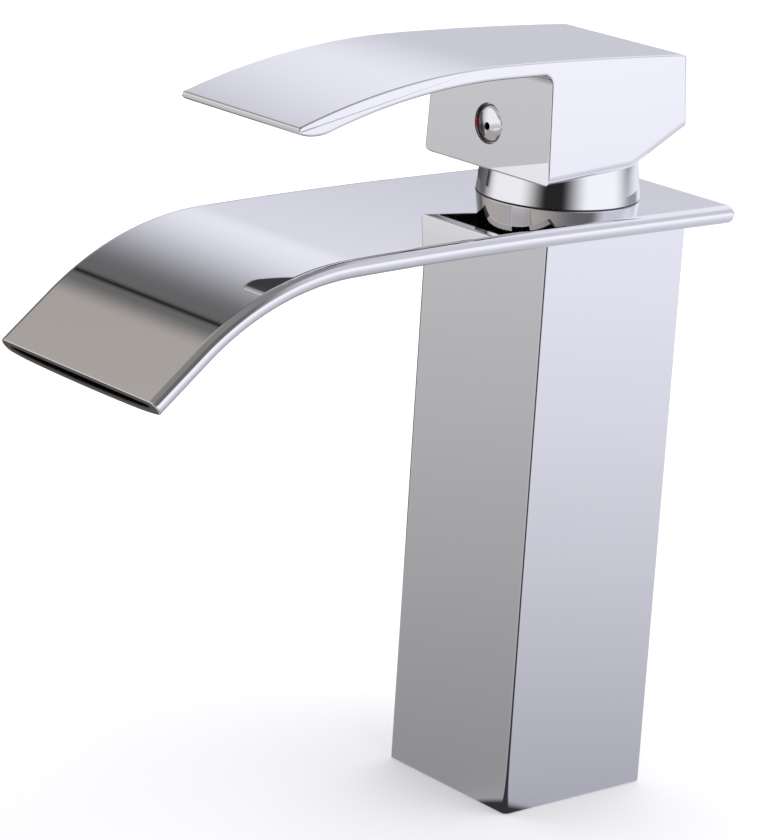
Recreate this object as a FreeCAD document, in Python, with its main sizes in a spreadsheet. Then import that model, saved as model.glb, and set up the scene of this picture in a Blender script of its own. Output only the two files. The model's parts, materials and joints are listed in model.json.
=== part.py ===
import FreeCAD, Part
import math
import os
import re

import Sketcher

# Single-lever basin mixer with a flat waterfall spout on a square column.
# Millimetres. +Z is up, the spout and the lever point to -Y, hot is on the -X side.
# The origin is the centre of the column's foot, on the surface that it stands on.

SIZES = [
    # alias, value, meaning
    ("body_width", 40.0, "column, across its faces"),
    ("body_height", 129.2, "column, from the foot to the underside of the spout"),
    ("body_wall", 3.0, "column's wall"),
    ("body_edge", 0.8, "rounding of the column's upright edges"),
    ("core_gap", 0.15, "solder gap between the column and the brass blocks in it"),
    ("inlet_block_height", 18.0, "brass block in the foot"),
    ("inlet_spacing", 15.0, "between the two hose inlets"),
    ("inlet_forward", 3.5, "hose inlets, ahead of the column's axis"),
    ("inlet_radius", 4.46, "inlet thread M10x1, minor radius"),
    ("inlet_depth", 9.0, "inlet thread's length"),
    ("stud_radius", 3.32, "stud thread M8, minor radius"),
    ("stud_depth", 14.0, "stud thread's length"),
    ("stud_back", 10.0, "stud hole, behind the column's axis"),
    ("riser_radius", 4.0, "copper tube, outside"),
    ("riser_wall", 0.8, "copper tube's wall"),
    ("riser_seat", 6.0, "length of tube in each socket"),
    ("socket_gap", 0.05, "round the tube in its socket"),
    ("riser_ring", 1.2, "tube seals, width and height of their square section"),
    ("base_ring", 1.7, "foot seal, width and height of its square section"),
    ("base_seal_margin", 0.85, "brass left outside the foot seal's groove"),
    ("spout_width", 53.8, "spout, across its round side edges"),
    ("spout_thickness", 3.9, "spout, top to underside"),
    ("spout_wall", 1.0, "wall round the water passage"),
    ("spout_rear", 27.6, "spout's rear end, behind the column's axis"),
    ("passage_rear", 20.0, "rear end of the water passage"),
    ("rear_edge", 0.9, "rounding of the spout's rear end"),
    ("level_front", 20.2, "end of the spout's level part, ahead of the axis"),
    ("arch_radius", 1500.0, "faint arch ahead of the level part, on the top"),
    ("arch_length", 56.0, "length of the faint arch"),
    ("bend_radius", 62.5, "bend of the spout, on the top"),
    ("bend_angle", 39.0, "fall of the lip below level, degrees"),
    ("lip_length", 14.6, "straight lip after the bend"),
    ("lip_bow", 0.7, "how far the lower lip bows down in the middle"),
    ("lip_root", 0.3, "how deep the bowed lip is rooted in the flat one"),
    ("cartridge_radius", 12.5, "cartridge shell, outside"),
    ("cartridge_gap", 0.1, "round the cartridge in its bore"),
    ("gallery_width", 1.3, "water gallery round the cartridge"),
    ("neck_wall", 1.3, "neck's wall outside the gallery"),
    ("neck_gap", 0.1, "round the neck in the spout's hole"),
    ("nut_thread", 1.0, "how far the nut stands out past the cartridge's bore"),
    ("bonnet_thread", 0.2, "bonnet's thread, inside the neck's full radius"),
    ("window_width", 9.0, "each water window in the neck"),
    ("core_height", 31.0, "valve body, from its lower face to the spout"),
    ("chamber_depth", 21.1, "chamber floor, below the spout's top"),
    ("floor_bore_overlap", 2.5, "how far the tube's bore rises past the port's start"),
    ("port_radius", 1.9, "inlet ports of the cartridge"),
    ("port_spacing", 9.2, "between the two inlet ports"),
    ("port_forward", 2.6, "inlet ports, ahead of the axis"),
    ("outlet_radius", 2.6, "outlet port of the cartridge"),
    ("outlet_back", 5.2, "outlet port, behind the axis"),
    ("base_flange", 1.5, "cartridge base's flange, thickness"),
    ("base_height", 6.2, "cartridge base, in all"),
    ("shell_wall", 1.2, "cartridge shell's wall"),
    ("shell_ceiling", 3.8, "cartridge shell's shoulder, thickness"),
    ("shell_ring", 1.4, "cartridge seal, width and height of its square section"),
    ("dome_radius", 9.2, "top collar of the cartridge shell"),
    ("dome_height", 4.7, "top collar, above the shoulder"),
    ("washer_thickness", 0.5, "thrust washer"),
    ("nut_height", 4.0, "cartridge nut"),
    ("nut_slot", 3.0, "wrench slots in the nut, width"),
    ("nut_slot_depth", 1.5, "wrench slots in the nut, depth"),
    ("port_ring", 0.9, "port seals, width and height of their square section"),
    ("seal_shelf", 1.1, "width of the shelf that a port seal lies on"),
    ("fixed_disc_thickness", 3.2, "lower ceramic disc"),
    ("moving_disc_thickness", 3.0, "upper ceramic disc"),
    ("moving_disc_radius", 9.0, "upper ceramic disc"),
    ("disc_film", 0.02, "between the lapped discs"),
    ("disc_travel", 3.9, "travel of the upper disc from shut to open"),
    ("pocket_radius", 4.45, "mixing pocket in the upper disc"),
    ("pocket_depth", 1.6, "mixing pocket in the upper disc"),
    ("pocket_shift", 0.2, "mixing pocket, behind the outlet"),
    ("tongue_width", 6.0, "forward tongue of the mixing pocket"),
    ("key_width", 2.2, "keys that stop the lower disc from turning"),
    ("key_margin", 0.5, "between the keys and the base's rim"),
    ("driver_height", 6.5, "slider that carries the upper disc"),
    ("ball_seat", 3.6, "centre of the stem's ball, above the slider's lower face"),
    ("ball_radius", 2.6, "stem's ball"),
    ("ball_gap", 0.3, "round the ball in the slider"),
    ("shank_radius", 2.0, "stem's round shank above the ball"),
    ("relief_length", 0.9, "room for the tilted shank, behind the ball's socket"),
    ("relief_rise", 0.9, "room for the tilted shank, above the ball's centre"),
    ("peg_radius", 1.0, "pegs between the slider and the upper disc"),
    ("peg_height", 1.0, "pegs between the slider and the upper disc"),
    ("peg_spacing", 13.0, "between the two pegs"),
    ("rail_width", 1.6, "guide rails on the slider"),
    ("rail_height", 0.8, "guide rails on the slider"),
    ("rail_spacing", 12.4, "between the two guide rails"),
    ("running_gap", 0.3, "between moving pieces that don't seal"),
    ("shaft_gap", 0.05, "round a shaft in its bore"),
    ("carrier_radius", 8.0, "stem carrier's barrel"),
    ("carrier_flange", 1.8, "stem carrier's flange, thickness"),
    ("carrier_play", 0.08, "above the carrier's flange"),
    ("carrier_low", 0.6, "carrier's top, below the shell's collar"),
    ("pivot_rise", 4.0, "stem's cross pin, above the carrier's flange"),
    ("pin_radius", 1.5, "stem's cross pin"),
    ("stem_width", 7.0, "stem, across its flats"),
    ("stem_below_pin", 3.5, "square of the stem, below the pin"),
    ("slot_front", 4.9, "carrier's slot, ahead of the axis"),
    ("slot_rear", 6.0, "carrier's slot, behind the axis"),
    ("bonnet_wall", 2.6, "bonnet's foot, outside the neck"),
    ("bonnet_taper", 7.0, "bonnet's half angle, degrees"),
    ("bonnet_cap", 1.4, "bonnet's rim above the neck"),
    ("bonnet_ring", 1.0, "bonnet's seal, width and height of its square section"),
    ("lever_rise", 7.0, "lever's block, above the spout"),
    ("lever_wall", 2.5, "wall of the lever's block"),
    ("lever_side_gap", 0.86, "between the bonnet and the block's side walls"),
    ("lever_front_gap", 1.66, "between the bonnet and the block's front wall"),
    ("lever_rear_reach", 1.14, "block's rear face, behind the bonnet"),
    ("lever_height", 26.6, "crown of the lever, above its lowest edge"),
    ("lever_rear_drop", 1.3, "lever's rear edge, below the crown"),
    ("lever_rear_lean", 0.9, "how far the rear face leans forward at its top"),
    ("lever_rear_foot", 9.4, "foot of the rear face, above the lowest edge"),
    ("lever_knee_back", 2.9, "knee of the underside, behind the axis"),
    ("lever_knee_rise", 1.7, "knee of the underside, above the lowest edge"),
    ("lever_draft", 1.2, "how far each side leans in, from foot to crown"),
    ("lever_edge", 0.8, "rounding of the lever's edges"),
    ("lever_reach", 86.9, "lever's tip, ahead of the axis"),
    ("crown_front", 33.0, "crown of the lever, ahead of the axis"),
    ("tip_drop", 8.6, "top of the lever's tip, below the crown"),
    ("tip_face", 1.3, "flat end face of the tip"),
    ("tip_run", 7.9, "rounded part of the underside at the tip"),
    ("tip_radius", 12.5, "radius of that rounded part"),
    ("blade_root", 3.05, "thickness of the blade at the block"),
    ("blade_tip", 4.0, "thickness of the blade near the tip"),
    ("throat_radius", 2.2, "hollow where the blade meets the block"),
    ("boss_rise", 5.9, "boss in the block, above the cartridge's collar"),
    ("boss_wall", 3.0, "boss round the stem, at the sides and rear"),
    ("boss_front", 6.0, "boss ahead of the stem"),
    ("stem_socket", 11.0, "depth of the stem's socket in the boss"),
    ("stem_gap", 0.05, "round the stem in its socket"),
    ("stem_end_gap", 0.3, "above the stem in its socket"),
    ("dial_radius", 4.25, "hole in the block's front face"),
    ("dial_height", 9.8, "hole in the front face, above the lowest edge"),
    ("plug_gap", 0.03, "round the plug in its hole"),
    ("plug_inset", 1.1, "plug's rim, behind the front face"),
    ("plug_length", 5.0, "indicator plug"),
    ("plug_dish", 1.2, "depth of the plug's conical face"),
    ("plug_eye", 0.8, "radius of the hole in the plug's middle"),
    ("plug_eye_depth", 1.6, "depth of that hole, below the cone"),
    ("mark_radius", 0.75, "hot and cold marks"),
    ("mark_offset", 3.1, "marks, from the plug's middle"),
    ("mark_depth", 0.9, "marks, let into the plug"),
    ("mark_proud", 0.1, "marks, above the conical face"),
    ("screw_radius", 2.5, "grub screw M5"),
    ("screw_length", 5.0, "grub screw M5"),
    ("hex_width", 2.5, "grub screw's socket, across its flats"),
    ("hex_depth", 2.2, "grub screw's socket"),
]

doc = FreeCAD.newDocument("WaterfallBasinMixer")
sheet = doc.addObject("Spreadsheet::Sheet", "Sizes")
for row, (alias, value, meaning) in enumerate(SIZES, start=1):
    sheet.set(f"A{row}", alias)
    sheet.set(f"B{row}", str(value))
    sheet.set(f"C{row}", meaning)
    sheet.setAlias(f"B{row}", alias)
doc.recompute()

ALIASES = {alias for alias, value, meaning in SIZES}


# ---------------------------------------------------------------- formulas and bindings

def formula(text):
    """Write the sheet's words in a formula as references to its cells."""
    return re.sub(r"[a-z]\w+", lambda word: f"Sizes.{word[0]}" if word[0] in ALIASES else word[0], text)


def number(text):
    """The value that a formula has now."""
    return float(sheet.evalExpression(formula(text)))


PLACES = {"x": "Placement.Base.x", "y": "Placement.Base.y", "z": "Placement.Base.z"}


def bind(thing, **formulas):
    """Bind properties of an object to formulas; x, y and z are its place."""
    for name, text in formulas.items():
        thing.setExpression(PLACES.get(name, name), formula(text))
    return thing


# ---------------------------------------------------------------- shared levels and radii

SPOUT_TOP = "(body_height + spout_thickness)"
CORE_WIDTH = "(body_width - 2 * body_wall - 2 * core_gap)"
CORE_LOW = "(body_height - core_height)"

BORE = "(cartridge_radius + cartridge_gap)"
GALLERY = f"({BORE} + gallery_width)"
NECK = f"({GALLERY} + neck_wall)"
NUT_BORE = f"({BORE} + nut_thread)"

FLOOR = f"({SPOUT_TOP} - chamber_depth)"
BASE_TOP = f"({FLOOR} + base_height)"
FIXED_TOP = f"({BASE_TOP} + fixed_disc_thickness)"
MOVING_LOW = f"({FIXED_TOP} + disc_film)"
DRIVER_LOW = f"({MOVING_LOW} + moving_disc_thickness)"
BALL = f"({DRIVER_LOW} + ball_seat)"
DRIVER_TOP = f"({DRIVER_LOW} + driver_height)"
FLANGE_LOW = f"({DRIVER_TOP} + running_gap)"
FLANGE_TOP = f"({FLANGE_LOW} + carrier_flange)"
PIVOT = f"({FLANGE_TOP} + pivot_rise)"
CEILING = f"({FLANGE_TOP} + carrier_play)"
SHOULDER = f"({CEILING} + shell_ceiling)"
DOME_TOP = f"({SHOULDER} + dome_height)"
NECK_TOP = f"({SHOULDER} + washer_thickness + nut_height)"
BONNET_TOP = f"({NECK_TOP} + running_gap + bonnet_cap)"

BONNET_FOOT = f"({NECK} + bonnet_wall)"
BONNET_AT_LEVER = f"({BONNET_FOOT} - lever_rise * tan(bonnet_taper))"

LEVER_LOW = f"({SPOUT_TOP} + lever_rise)"
LEVER_HALF = f"({BONNET_AT_LEVER} + lever_side_gap + lever_wall)"
LEVER_FRONT = f"({BONNET_AT_LEVER} + lever_front_gap + lever_wall)"
LEVER_REAR = f"({BONNET_AT_LEVER} + lever_rear_reach)"
CROWN = f"({LEVER_LOW} + lever_height)"
BOSS_LOW = f"({DOME_TOP} + boss_rise)"
SOCKET_TOP = f"({BOSS_LOW} + stem_socket)"
DIAL = f"({LEVER_LOW} + dial_height)"
PLUG_RIM = f"({LEVER_FRONT} - plug_inset)"

SHELL_INNER = "(cartridge_radius - shell_wall)"
BASE_RIM = f"({SHELL_INNER} - cartridge_gap)"
KEY_OUTER = f"({BASE_RIM} - key_margin)"
SEAL_OUTER = f"({CORE_WIDTH} / 2 - base_seal_margin)"
LOWER_RING = "(inlet_block_height - riser_seat / 2)"
UPPER_RING = f"({CORE_LOW} + riser_seat / 2)"
COLLAR_BORE = "(dome_radius + cartridge_gap)"

SIDE_NAMES = {-1: "hot", 1: "cold"}
PORTS = [(side, f"{side} * port_spacing / 2", "-port_forward") for side in (-1, 1)]
INLETS = [(side, f"{side} * inlet_spacing / 2", "-inlet_forward") for side in (-1, 1)]


# ---------------------------------------------------------------- basic shapes

def box(name, length, width, height, x="0", y="0", z="0"):
    """A box that is centred on x and y and stands on z."""
    thing = doc.addObject("Part::Box", name)
    return bind(
        thing, Length=length, Width=width, Height=height,
        x=f"{x} - ({length}) / 2", y=f"{y} - ({width}) / 2", z=z,
    )


def rod(name, radius, low, high, x="0", y="0"):
    """An upright cylinder from one level to another."""
    thing = doc.addObject("Part::Cylinder", name)
    return bind(thing, Radius=radius, Height=f"({high}) - ({low})", x=x, y=y, z=low)


def rod_back(name, radius, front, rear, x="0", z="0"):
    """A cylinder along +Y."""
    thing = doc.addObject("Part::Cylinder", name)
    thing.Placement.Rotation = FreeCAD.Rotation(FreeCAD.Vector(1, 0, 0), -90)
    return bind(thing, Radius=radius, Height=f"({rear}) - ({front})", x=x, y=front, z=z)


def rod_across(name, radius, length, z):
    """A cylinder along X, centred on the axis of the column."""
    thing = doc.addObject("Part::Cylinder", name)
    thing.Placement.Rotation = FreeCAD.Rotation(FreeCAD.Vector(0, 1, 0), 90)
    return bind(thing, Radius=radius, Height=length, x=f"-({length}) / 2", z=z)


def ball(name, radius, y="0", z="0"):
    thing = doc.addObject("Part::Sphere", name)
    return bind(thing, Radius=radius, y=y, z=z)


def seal(name, outer, size, low, x="0", y="0"):
    """A ring of square section, from its outer radius inwards and from a level up."""
    high = f"{low} + {size}"
    outside = rod(f"{name}_outside", outer, low, high, x, y)
    inside = rod(f"{name}_inside", f"{outer} - {size}", low, high, x, y)
    return cut(name, outside, inside)


def join(name, *shapes):
    thing = doc.addObject("Part::MultiFuse", name)
    thing.Shapes = list(shapes)
    return thing


def cut(name, base, *tools):
    thing = doc.addObject("Part::Cut", name)
    thing.Base = base
    thing.Tool = tools[0] if len(tools) == 1 else join(f"{name}_tools", *tools)
    return thing


def common(name, first, second):
    thing = doc.addObject("Part::Common", name)
    thing.Base = first
    thing.Tool = second
    return thing


def group(name, *solids):
    thing = doc.addObject("Part::Compound", name)
    thing.Links = list(solids)
    return thing


# ---------------------------------------------------------------- sketches

def arc_between(start, end, radius, turn):
    """The short arc from start to end; turn is 1 where it bends left and -1 where it bends right."""
    chord = end - start
    rise = math.sqrt(max(radius ** 2 - (chord.Length / 2) ** 2, 0))
    normal = FreeCAD.Vector(-chord.y, chord.x, 0).normalize()
    centre = (start + end) / 2 + normal * rise * turn
    first, last = (start, end) if turn > 0 else (end, start)
    angles = [math.atan2(point.y - centre.y, point.x - centre.x) for point in (first, last)]
    circle = Part.Circle(centre, FreeCAD.Vector(0, 0, 1), radius)
    return Part.ArcOfCircle(circle, angles[0], angles[1])


def draw(sketch, corners, arcs=None, closed=True):
    """Draw lines and arcs through corners, each fixed by formulas for its place.

    arcs says which sides are arcs: the number of the side's first corner, with a radius and a turn."""
    arcs = arcs or {}
    first = len(sketch.Geometry)
    points = [FreeCAD.Vector(number(across), number(up), 0) for across, up in corners]
    sides = len(points) if closed else len(points) - 1
    ends = []
    for side in range(sides):
        start, end = points[side], points[(side + 1) % len(points)]
        if side in arcs:
            radius, turn = arcs[side]
            sketch.addGeometry(arc_between(start, end, number(radius), turn))
            ends.append((1, 2) if turn > 0 else (2, 1))
        else:
            sketch.addGeometry(Part.LineSegment(start, end))
            ends.append((1, 2))
    for side in range(sides):
        line = first + side
        fix_point(sketch, line, ends[side][0], corners[side])
        if side + 1 < sides or closed:
            following = (side + 1) % sides
            sketch.addConstraint(Sketcher.Constraint(
                "Coincident", line, ends[side][1], first + following, ends[following][0]))
        else:
            fix_point(sketch, line, ends[side][1], corners[-1])
        if side in arcs:
            radius = arcs[side][0]
            index = sketch.addConstraint(Sketcher.Constraint("Radius", line, number(radius)))
            sketch.setExpression(f"Constraints[{index}]", formula(radius))


def fix_point(sketch, line, end, corner):
    for kind, text in zip(("DistanceX", "DistanceY"), corner):
        index = sketch.addConstraint(Sketcher.Constraint(kind, -1, 1, line, end, number(text)))
        sketch.setExpression(f"Constraints[{index}]", formula(text))


def new_body(name):
    return doc.addObject("PartDesign::Body", name)


def sketch_on(body, name, plane, offset=None):
    """A sketch on one of the body's own planes; XZ_Plane can be moved back by an offset."""
    sketch = body.newObject("Sketcher::SketchObject", name)
    support = [feature for feature in body.Origin.OriginFeatures if feature.Role == plane][0]
    sketch.AttachmentSupport = [(support, "")]
    sketch.MapMode = "FlatFace"
    if offset:
        sketch.setExpression("AttachmentOffset.Base.z", formula(offset))
    return sketch


def turned(name, outline):
    """A body turned about the column's axis; its outline is pairs of radius and level."""
    body = new_body(name)
    sketch = sketch_on(body, f"{name}_outline", "XZ_Plane")
    draw(sketch, outline)
    revolution = body.newObject("PartDesign::Revolution", f"{name}_revolution")
    revolution.Profile = sketch
    revolution.ReferenceAxis = (sketch, ["V_Axis"])
    revolution.Angle = 360
    return body


def padded(name, plane, outline, length, arcs=None):
    """A body padded from an outline, to both sides of its plane alike."""
    body = new_body(name)
    sketch = sketch_on(body, f"{name}_outline", plane)
    draw(sketch, outline, arcs)
    pad = body.newObject("PartDesign::Pad", f"{name}_pad")
    pad.Profile = sketch
    pad.Midplane = True
    bind(pad, Length=length)
    return body


def edges_where(shape, test):
    """Names of the edges whose middle point and direction pass a test."""
    names = []
    for index, edge in enumerate(shape.Edges, start=1):
        middle = edge.valueAt((edge.FirstParameter + edge.LastParameter) / 2)
        along = edge.tangentAt((edge.FirstParameter + edge.LastParameter) / 2)
        if test(edge, middle, along):
            names.append(f"Edge{index}")
    return names


# ---------------------------------------------------------------- column and foot

def square(half):
    return [(f"-{half}", f"-{half}"), (half, f"-{half}"), (half, half), (f"-{half}", half)]


def make_column():
    """Square tube with slightly rounded upright edges."""
    body = new_body("column")
    sketch = sketch_on(body, "column_section", "XY_Plane")
    draw(sketch, square("(body_width / 2)"))
    draw(sketch, square("(body_width / 2 - body_wall)"))
    pad = body.newObject("PartDesign::Pad", "column_tube")
    pad.Profile = sketch
    bind(pad, Length="body_height")
    doc.recompute()
    outside = number("body_width / 2 - body_wall / 2")
    corners = edges_where(
        pad.Shape,
        lambda edge, middle, along: abs(along.z) > 0.9 and min(abs(middle.x), abs(middle.y)) > outside)
    fillet = body.newObject("PartDesign::Fillet", "column_edges")
    fillet.Base = (pad, corners)
    bind(fillet, Radius="body_edge")
    return body


def make_inlet_block():
    """Brass block in the column's foot: hose inlets, tube sockets, stud hole and ring groove."""
    high = "inlet_block_height"
    seat = "(inlet_block_height - riser_seat)"
    tools = [
        rod("stud_bore", "stud_radius", "0", "stud_depth", y="stud_back"),
        seal("base_groove", SEAL_OUTER, "base_ring", "0"),
    ]
    for side, x, y in INLETS:
        word = SIDE_NAMES[side]
        tools.append(rod(f"{word}_inlet_thread", "inlet_radius", "0", "inlet_depth", x, y))
        tools.append(rod(f"{word}_inlet_bore", "riser_radius - riser_wall", "inlet_depth", seat, x, y))
        tools.append(rod(f"{word}_lower_socket", "riser_radius + socket_gap", seat, high, x, y))
        tools.append(rod(
            f"{word}_lower_groove", "riser_radius + riser_ring",
            f"{LOWER_RING} - riser_ring / 2", f"{LOWER_RING} + riser_ring / 2", x, y))
    return cut("inlet_block", box("inlet_blank", CORE_WIDTH, CORE_WIDTH, high), *tools)


def make_riser(side, x, y):
    """Copper tube from the inlet block up to the valve body."""
    name = f"{SIDE_NAMES[side]}_riser"
    low = "(inlet_block_height - riser_seat)"
    high = f"({CORE_LOW} + riser_seat)"
    outer = rod(f"{name}_outer", "riser_radius", low, high, x, y)
    inner = rod(f"{name}_inner", "riser_radius - riser_wall", low, high, x, y)
    return cut(name, outer, inner)


def make_riser_seals():
    rings = []
    for side, x, y in INLETS:
        for level, z in (("lower", LOWER_RING), ("upper", UPPER_RING)):
            name = f"{SIDE_NAMES[side]}_{level}_ring"
            low = f"({z} - riser_ring / 2)"
            rings.append(seal(name, "(riser_radius + riser_ring)", "riser_ring", low, x, y))
    return group("riser_seals", *rings)


# ---------------------------------------------------------------- spout

ARCH_ANGLE = "(arch_length / arch_radius * 180 / pi)"


def spout_line(depth, start, beyond="0"):
    """Corners of the spout's side line at a depth below its top, from its rear end to its tip."""
    arch = f"(arch_radius - {depth})"
    bend = f"(bend_radius - {depth})"
    y_bend = f"(-level_front - {arch} * sin({ARCH_ANGLE}))"
    z_bend = f"({SPOUT_TOP} - {depth} - {arch} * (1 - cos({ARCH_ANGLE})))"
    y_lip = f"({y_bend} - {bend} * (sin(bend_angle) - sin({ARCH_ANGLE})))"
    z_lip = f"({z_bend} - {bend} * (cos({ARCH_ANGLE}) - cos(bend_angle)))"
    y_tip = f"({y_lip} - (lip_length + {beyond}) * cos(bend_angle))"
    z_tip = f"({z_lip} - (lip_length + {beyond}) * sin(bend_angle))"
    corners = [
        (start, f"{SPOUT_TOP} - {depth}"),
        ("-level_front", f"{SPOUT_TOP} - {depth}"),
        (y_bend, z_bend),
        (y_lip, z_lip),
        (y_tip, z_tip),
    ]
    return corners, {1: (arch, 1), 2: (bend, 1)}


def stadium(sketch, half, low, high, radius):
    """Two straight sides joined by half rounds."""
    middle = f"(({low} + {high}) / 2)"
    corners = [
        (f"-{half}", low), (half, low), (f"{half} + {radius}", middle),
        (half, high), (f"-{half}", high), (f"-{half} - {radius}", middle),
    ]
    quarter = (radius, 1)
    draw(sketch, corners, {1: quarter, 2: quarter, 4: quarter, 5: quarter})


def make_flat_tube(name, width, thickness, start, beyond="0"):
    """A flat tube's outside or inside: a stadium drawn along the spout's middle line."""
    body = new_body(name)
    path = sketch_on(body, f"{name}_path", "YZ_Plane")
    corners, arcs = spout_line("(spout_thickness / 2)", start, beyond)
    draw(path, corners, arcs, closed=False)
    section = sketch_on(body, f"{name}_section", "XZ_Plane", offset=f"-({start})")
    middle = "(body_height + spout_thickness / 2)"
    stadium(
        section, f"(({width} - {thickness}) / 2)",
        f"({middle} - {thickness} / 2)", f"({middle} + {thickness} / 2)", f"({thickness} / 2)")
    pipe = body.newObject("PartDesign::AdditivePipe", f"{name}_pipe")
    pipe.Profile = section
    pipe.Spine = path
    return body, pipe


def lip_section(name, along, floor_depth, bow):
    """A lens across the lip at a distance along it: flat above, bowed below."""
    corners, arcs = spout_line("0", "0", f"({along}) - lip_length")
    y, z = corners[-1]
    sketch = doc.addObject("Sketcher::SketchObject", name)
    sketch.Placement.Rotation = FreeCAD.Rotation(FreeCAD.Vector(1, 0, 0), 90)
    sketch.setExpression("Placement.Rotation.Angle", formula("90 + bend_angle"))
    bind(sketch, y=y, z=z)
    half = "((spout_width - spout_thickness) / 2 - lip_root)"
    rise = f"({bow} + lip_root)"
    radius = f"(({half} ^ 2 + {rise} ^ 2) / (2 * {rise}))"
    root = f"(lip_root - {floor_depth})"
    middle = "(-spout_thickness / 2)"
    draw(
        sketch,
        [(f"-{half}", root), (half, root), (half, middle), (f"-{half}", middle)],
        {0: (radius, 1)},
    )
    return sketch


def lip_belly(name, floor_depth, beyond):
    """The part of the lower lip that bows down, from nothing at the bend to its most at the tip."""
    loft = doc.addObject("Part::Loft", name)
    loft.Sections = [
        lip_section(f"{name}_root", "0", floor_depth, "(-lip_root / 2)"),
        lip_section(f"{name}_mouth", f"lip_length + {beyond}", floor_depth, "lip_bow"),
    ]
    loft.Solid = True
    loft.Ruled = True
    return loft


def make_spout():
    """Hollow flat spout: closed round the neck at the rear, open across its whole width at the tip."""
    plate, pipe = make_flat_tube("spout_plate", "spout_width", "spout_thickness", "spout_rear")
    doc.recompute()
    rear = number("spout_rear")
    loop = edges_where(pipe.Shape, lambda edge, middle, along: abs(middle.y - rear) < 0.01)
    fillet = plate.newObject("PartDesign::Fillet", "spout_rear_edge")
    fillet.Base = (pipe, loop)
    bind(fillet, Radius="rear_edge")
    passage, pipe = make_flat_tube(
        "spout_passage", "(spout_width - 2 * spout_wall)", "(spout_thickness - 2 * spout_wall)",
        "passage_rear", "spout_wall")
    outside = join("spout_outside", plate, lip_belly("lip_outside", "spout_thickness", "0"))
    inside = join(
        "spout_inside", passage,
        lip_belly("lip_inside", "(spout_thickness - spout_wall)", "spout_wall"),
        rod("neck_hole", f"{NECK} + neck_gap", "body_height - spout_wall", f"{SPOUT_TOP} + spout_wall"))
    return cut("waterfall_spout", outside, inside)


# ---------------------------------------------------------------- valve body

WINDOW_ANGLES = (-50, 0, 50)


def make_window(index, angle):
    """A water window through the neck's wall, at an angle from straight ahead."""
    window = doc.addObject("Part::Box", f"neck_window_{index}")
    window.Placement.Rotation = FreeCAD.Rotation(FreeCAD.Vector(0, 0, 1), angle)
    reach = f"({NECK} + spout_wall)"
    return bind(
        window, Length="window_width", Width=reach,
        Height="spout_thickness - 2 * spout_wall",
        x=f"{reach} * sin({angle}) - window_width / 2 * cos({angle})",
        y=f"-{reach} * cos({angle}) - window_width / 2 * sin({angle})",
        z="body_height + spout_wall",
    )


def make_valve_body():
    """Brass core in the top of the column, with the cartridge chamber and the threaded neck."""
    roof = f"({SPOUT_TOP} - spout_wall)"
    neck = turned("neck_blank", [
        ("0", f"{CORE_LOW} + spout_wall"),
        (NECK, f"{CORE_LOW} + spout_wall"),
        (NECK, SPOUT_TOP),
        (f"{NECK} - bonnet_thread", SPOUT_TOP),
        (f"{NECK} - bonnet_thread", NECK_TOP),
        ("0", NECK_TOP),
    ])
    chamber = turned("chamber", [
        ("0", FLOOR),
        (GALLERY, FLOOR),
        (GALLERY, roof),
        (BORE, roof),
        (BORE, SHOULDER),
        (NUT_BORE, SHOULDER),
        (NUT_BORE, f"{NECK_TOP} + spout_wall"),
        ("0", f"{NECK_TOP} + spout_wall"),
    ])
    blank = join("valve_blank", box("core_blank", CORE_WIDTH, CORE_WIDTH, "core_height", z=CORE_LOW), neck)
    tools = [chamber] + [make_window(index, angle) for index, angle in enumerate(WINDOW_ANGLES)]
    seat = f"({CORE_LOW} + riser_seat)"
    for side, x, y in INLETS:
        word = SIDE_NAMES[side]
        tools.append(rod(f"{word}_upper_socket", "riser_radius + socket_gap", CORE_LOW, seat, x, y))
        tools.append(rod(
            f"{word}_upper_groove", "riser_radius + riser_ring",
            f"{UPPER_RING} - riser_ring / 2", f"{UPPER_RING} + riser_ring / 2", x, y))
        tools.append(rod(
            f"{word}_upper_bore", "riser_radius - riser_wall", seat,
            f"({seat} + {FLOOR}) / 2 + floor_bore_overlap / 2", x, y))
    for side, x, y in PORTS:
        word = SIDE_NAMES[side]
        tools.append(rod(
            f"{word}_floor_port", "port_radius", f"({seat} + {FLOOR}) / 2 - floor_bore_overlap / 2",
            f"{FLOOR} + spout_wall", x, y))
    return cut("valve_body", blank, *tools)


def make_bonnet():
    """Tapered cap screwed on the neck, closed round the collar, with its seal at the foot."""
    inner = f"({NECK} - bonnet_thread + shaft_gap)"
    recess = f"({inner} + bonnet_ring + shaft_gap)"
    recess_top = f"{SPOUT_TOP} + bonnet_ring + shaft_gap"
    eye = "(dome_radius + running_gap)"
    return turned("bonnet", [
        (recess, SPOUT_TOP),
        (BONNET_FOOT, SPOUT_TOP),
        (f"{BONNET_FOOT} - ({BONNET_TOP} - {SPOUT_TOP}) * tan(bonnet_taper)", BONNET_TOP),
        (eye, BONNET_TOP),
        (eye, f"{NECK_TOP} + running_gap"),
        (inner, f"{NECK_TOP} + running_gap"),
        (inner, recess_top),
        (recess, recess_top),
    ])


# ---------------------------------------------------------------- cartridge

def make_cartridge_nut():
    """Ring nut with four wrench slots across its top."""
    low, high = f"({SHOULDER} + washer_thickness)", NECK_TOP
    outer = f"({NUT_BORE} - shaft_gap)"
    blank = turned("nut_blank", [(COLLAR_BORE, low), (outer, low), (outer, high), (COLLAR_BORE, high)])
    across = f"(2 * {NUT_BORE})"
    slots = [
        box("nut_slot_x", across, "nut_slot", "nut_slot_depth", z=f"{high} - nut_slot_depth"),
        box("nut_slot_y", "nut_slot", across, "nut_slot_depth", z=f"{high} - nut_slot_depth"),
    ]
    return cut("cartridge_nut", blank, *slots)


def make_thrust_washer():
    low, high = SHOULDER, f"({SHOULDER} + washer_thickness)"
    outer = "cartridge_radius"
    return turned("thrust_washer", [(COLLAR_BORE, low), (outer, low), (outer, high), (COLLAR_BORE, high)])


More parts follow.
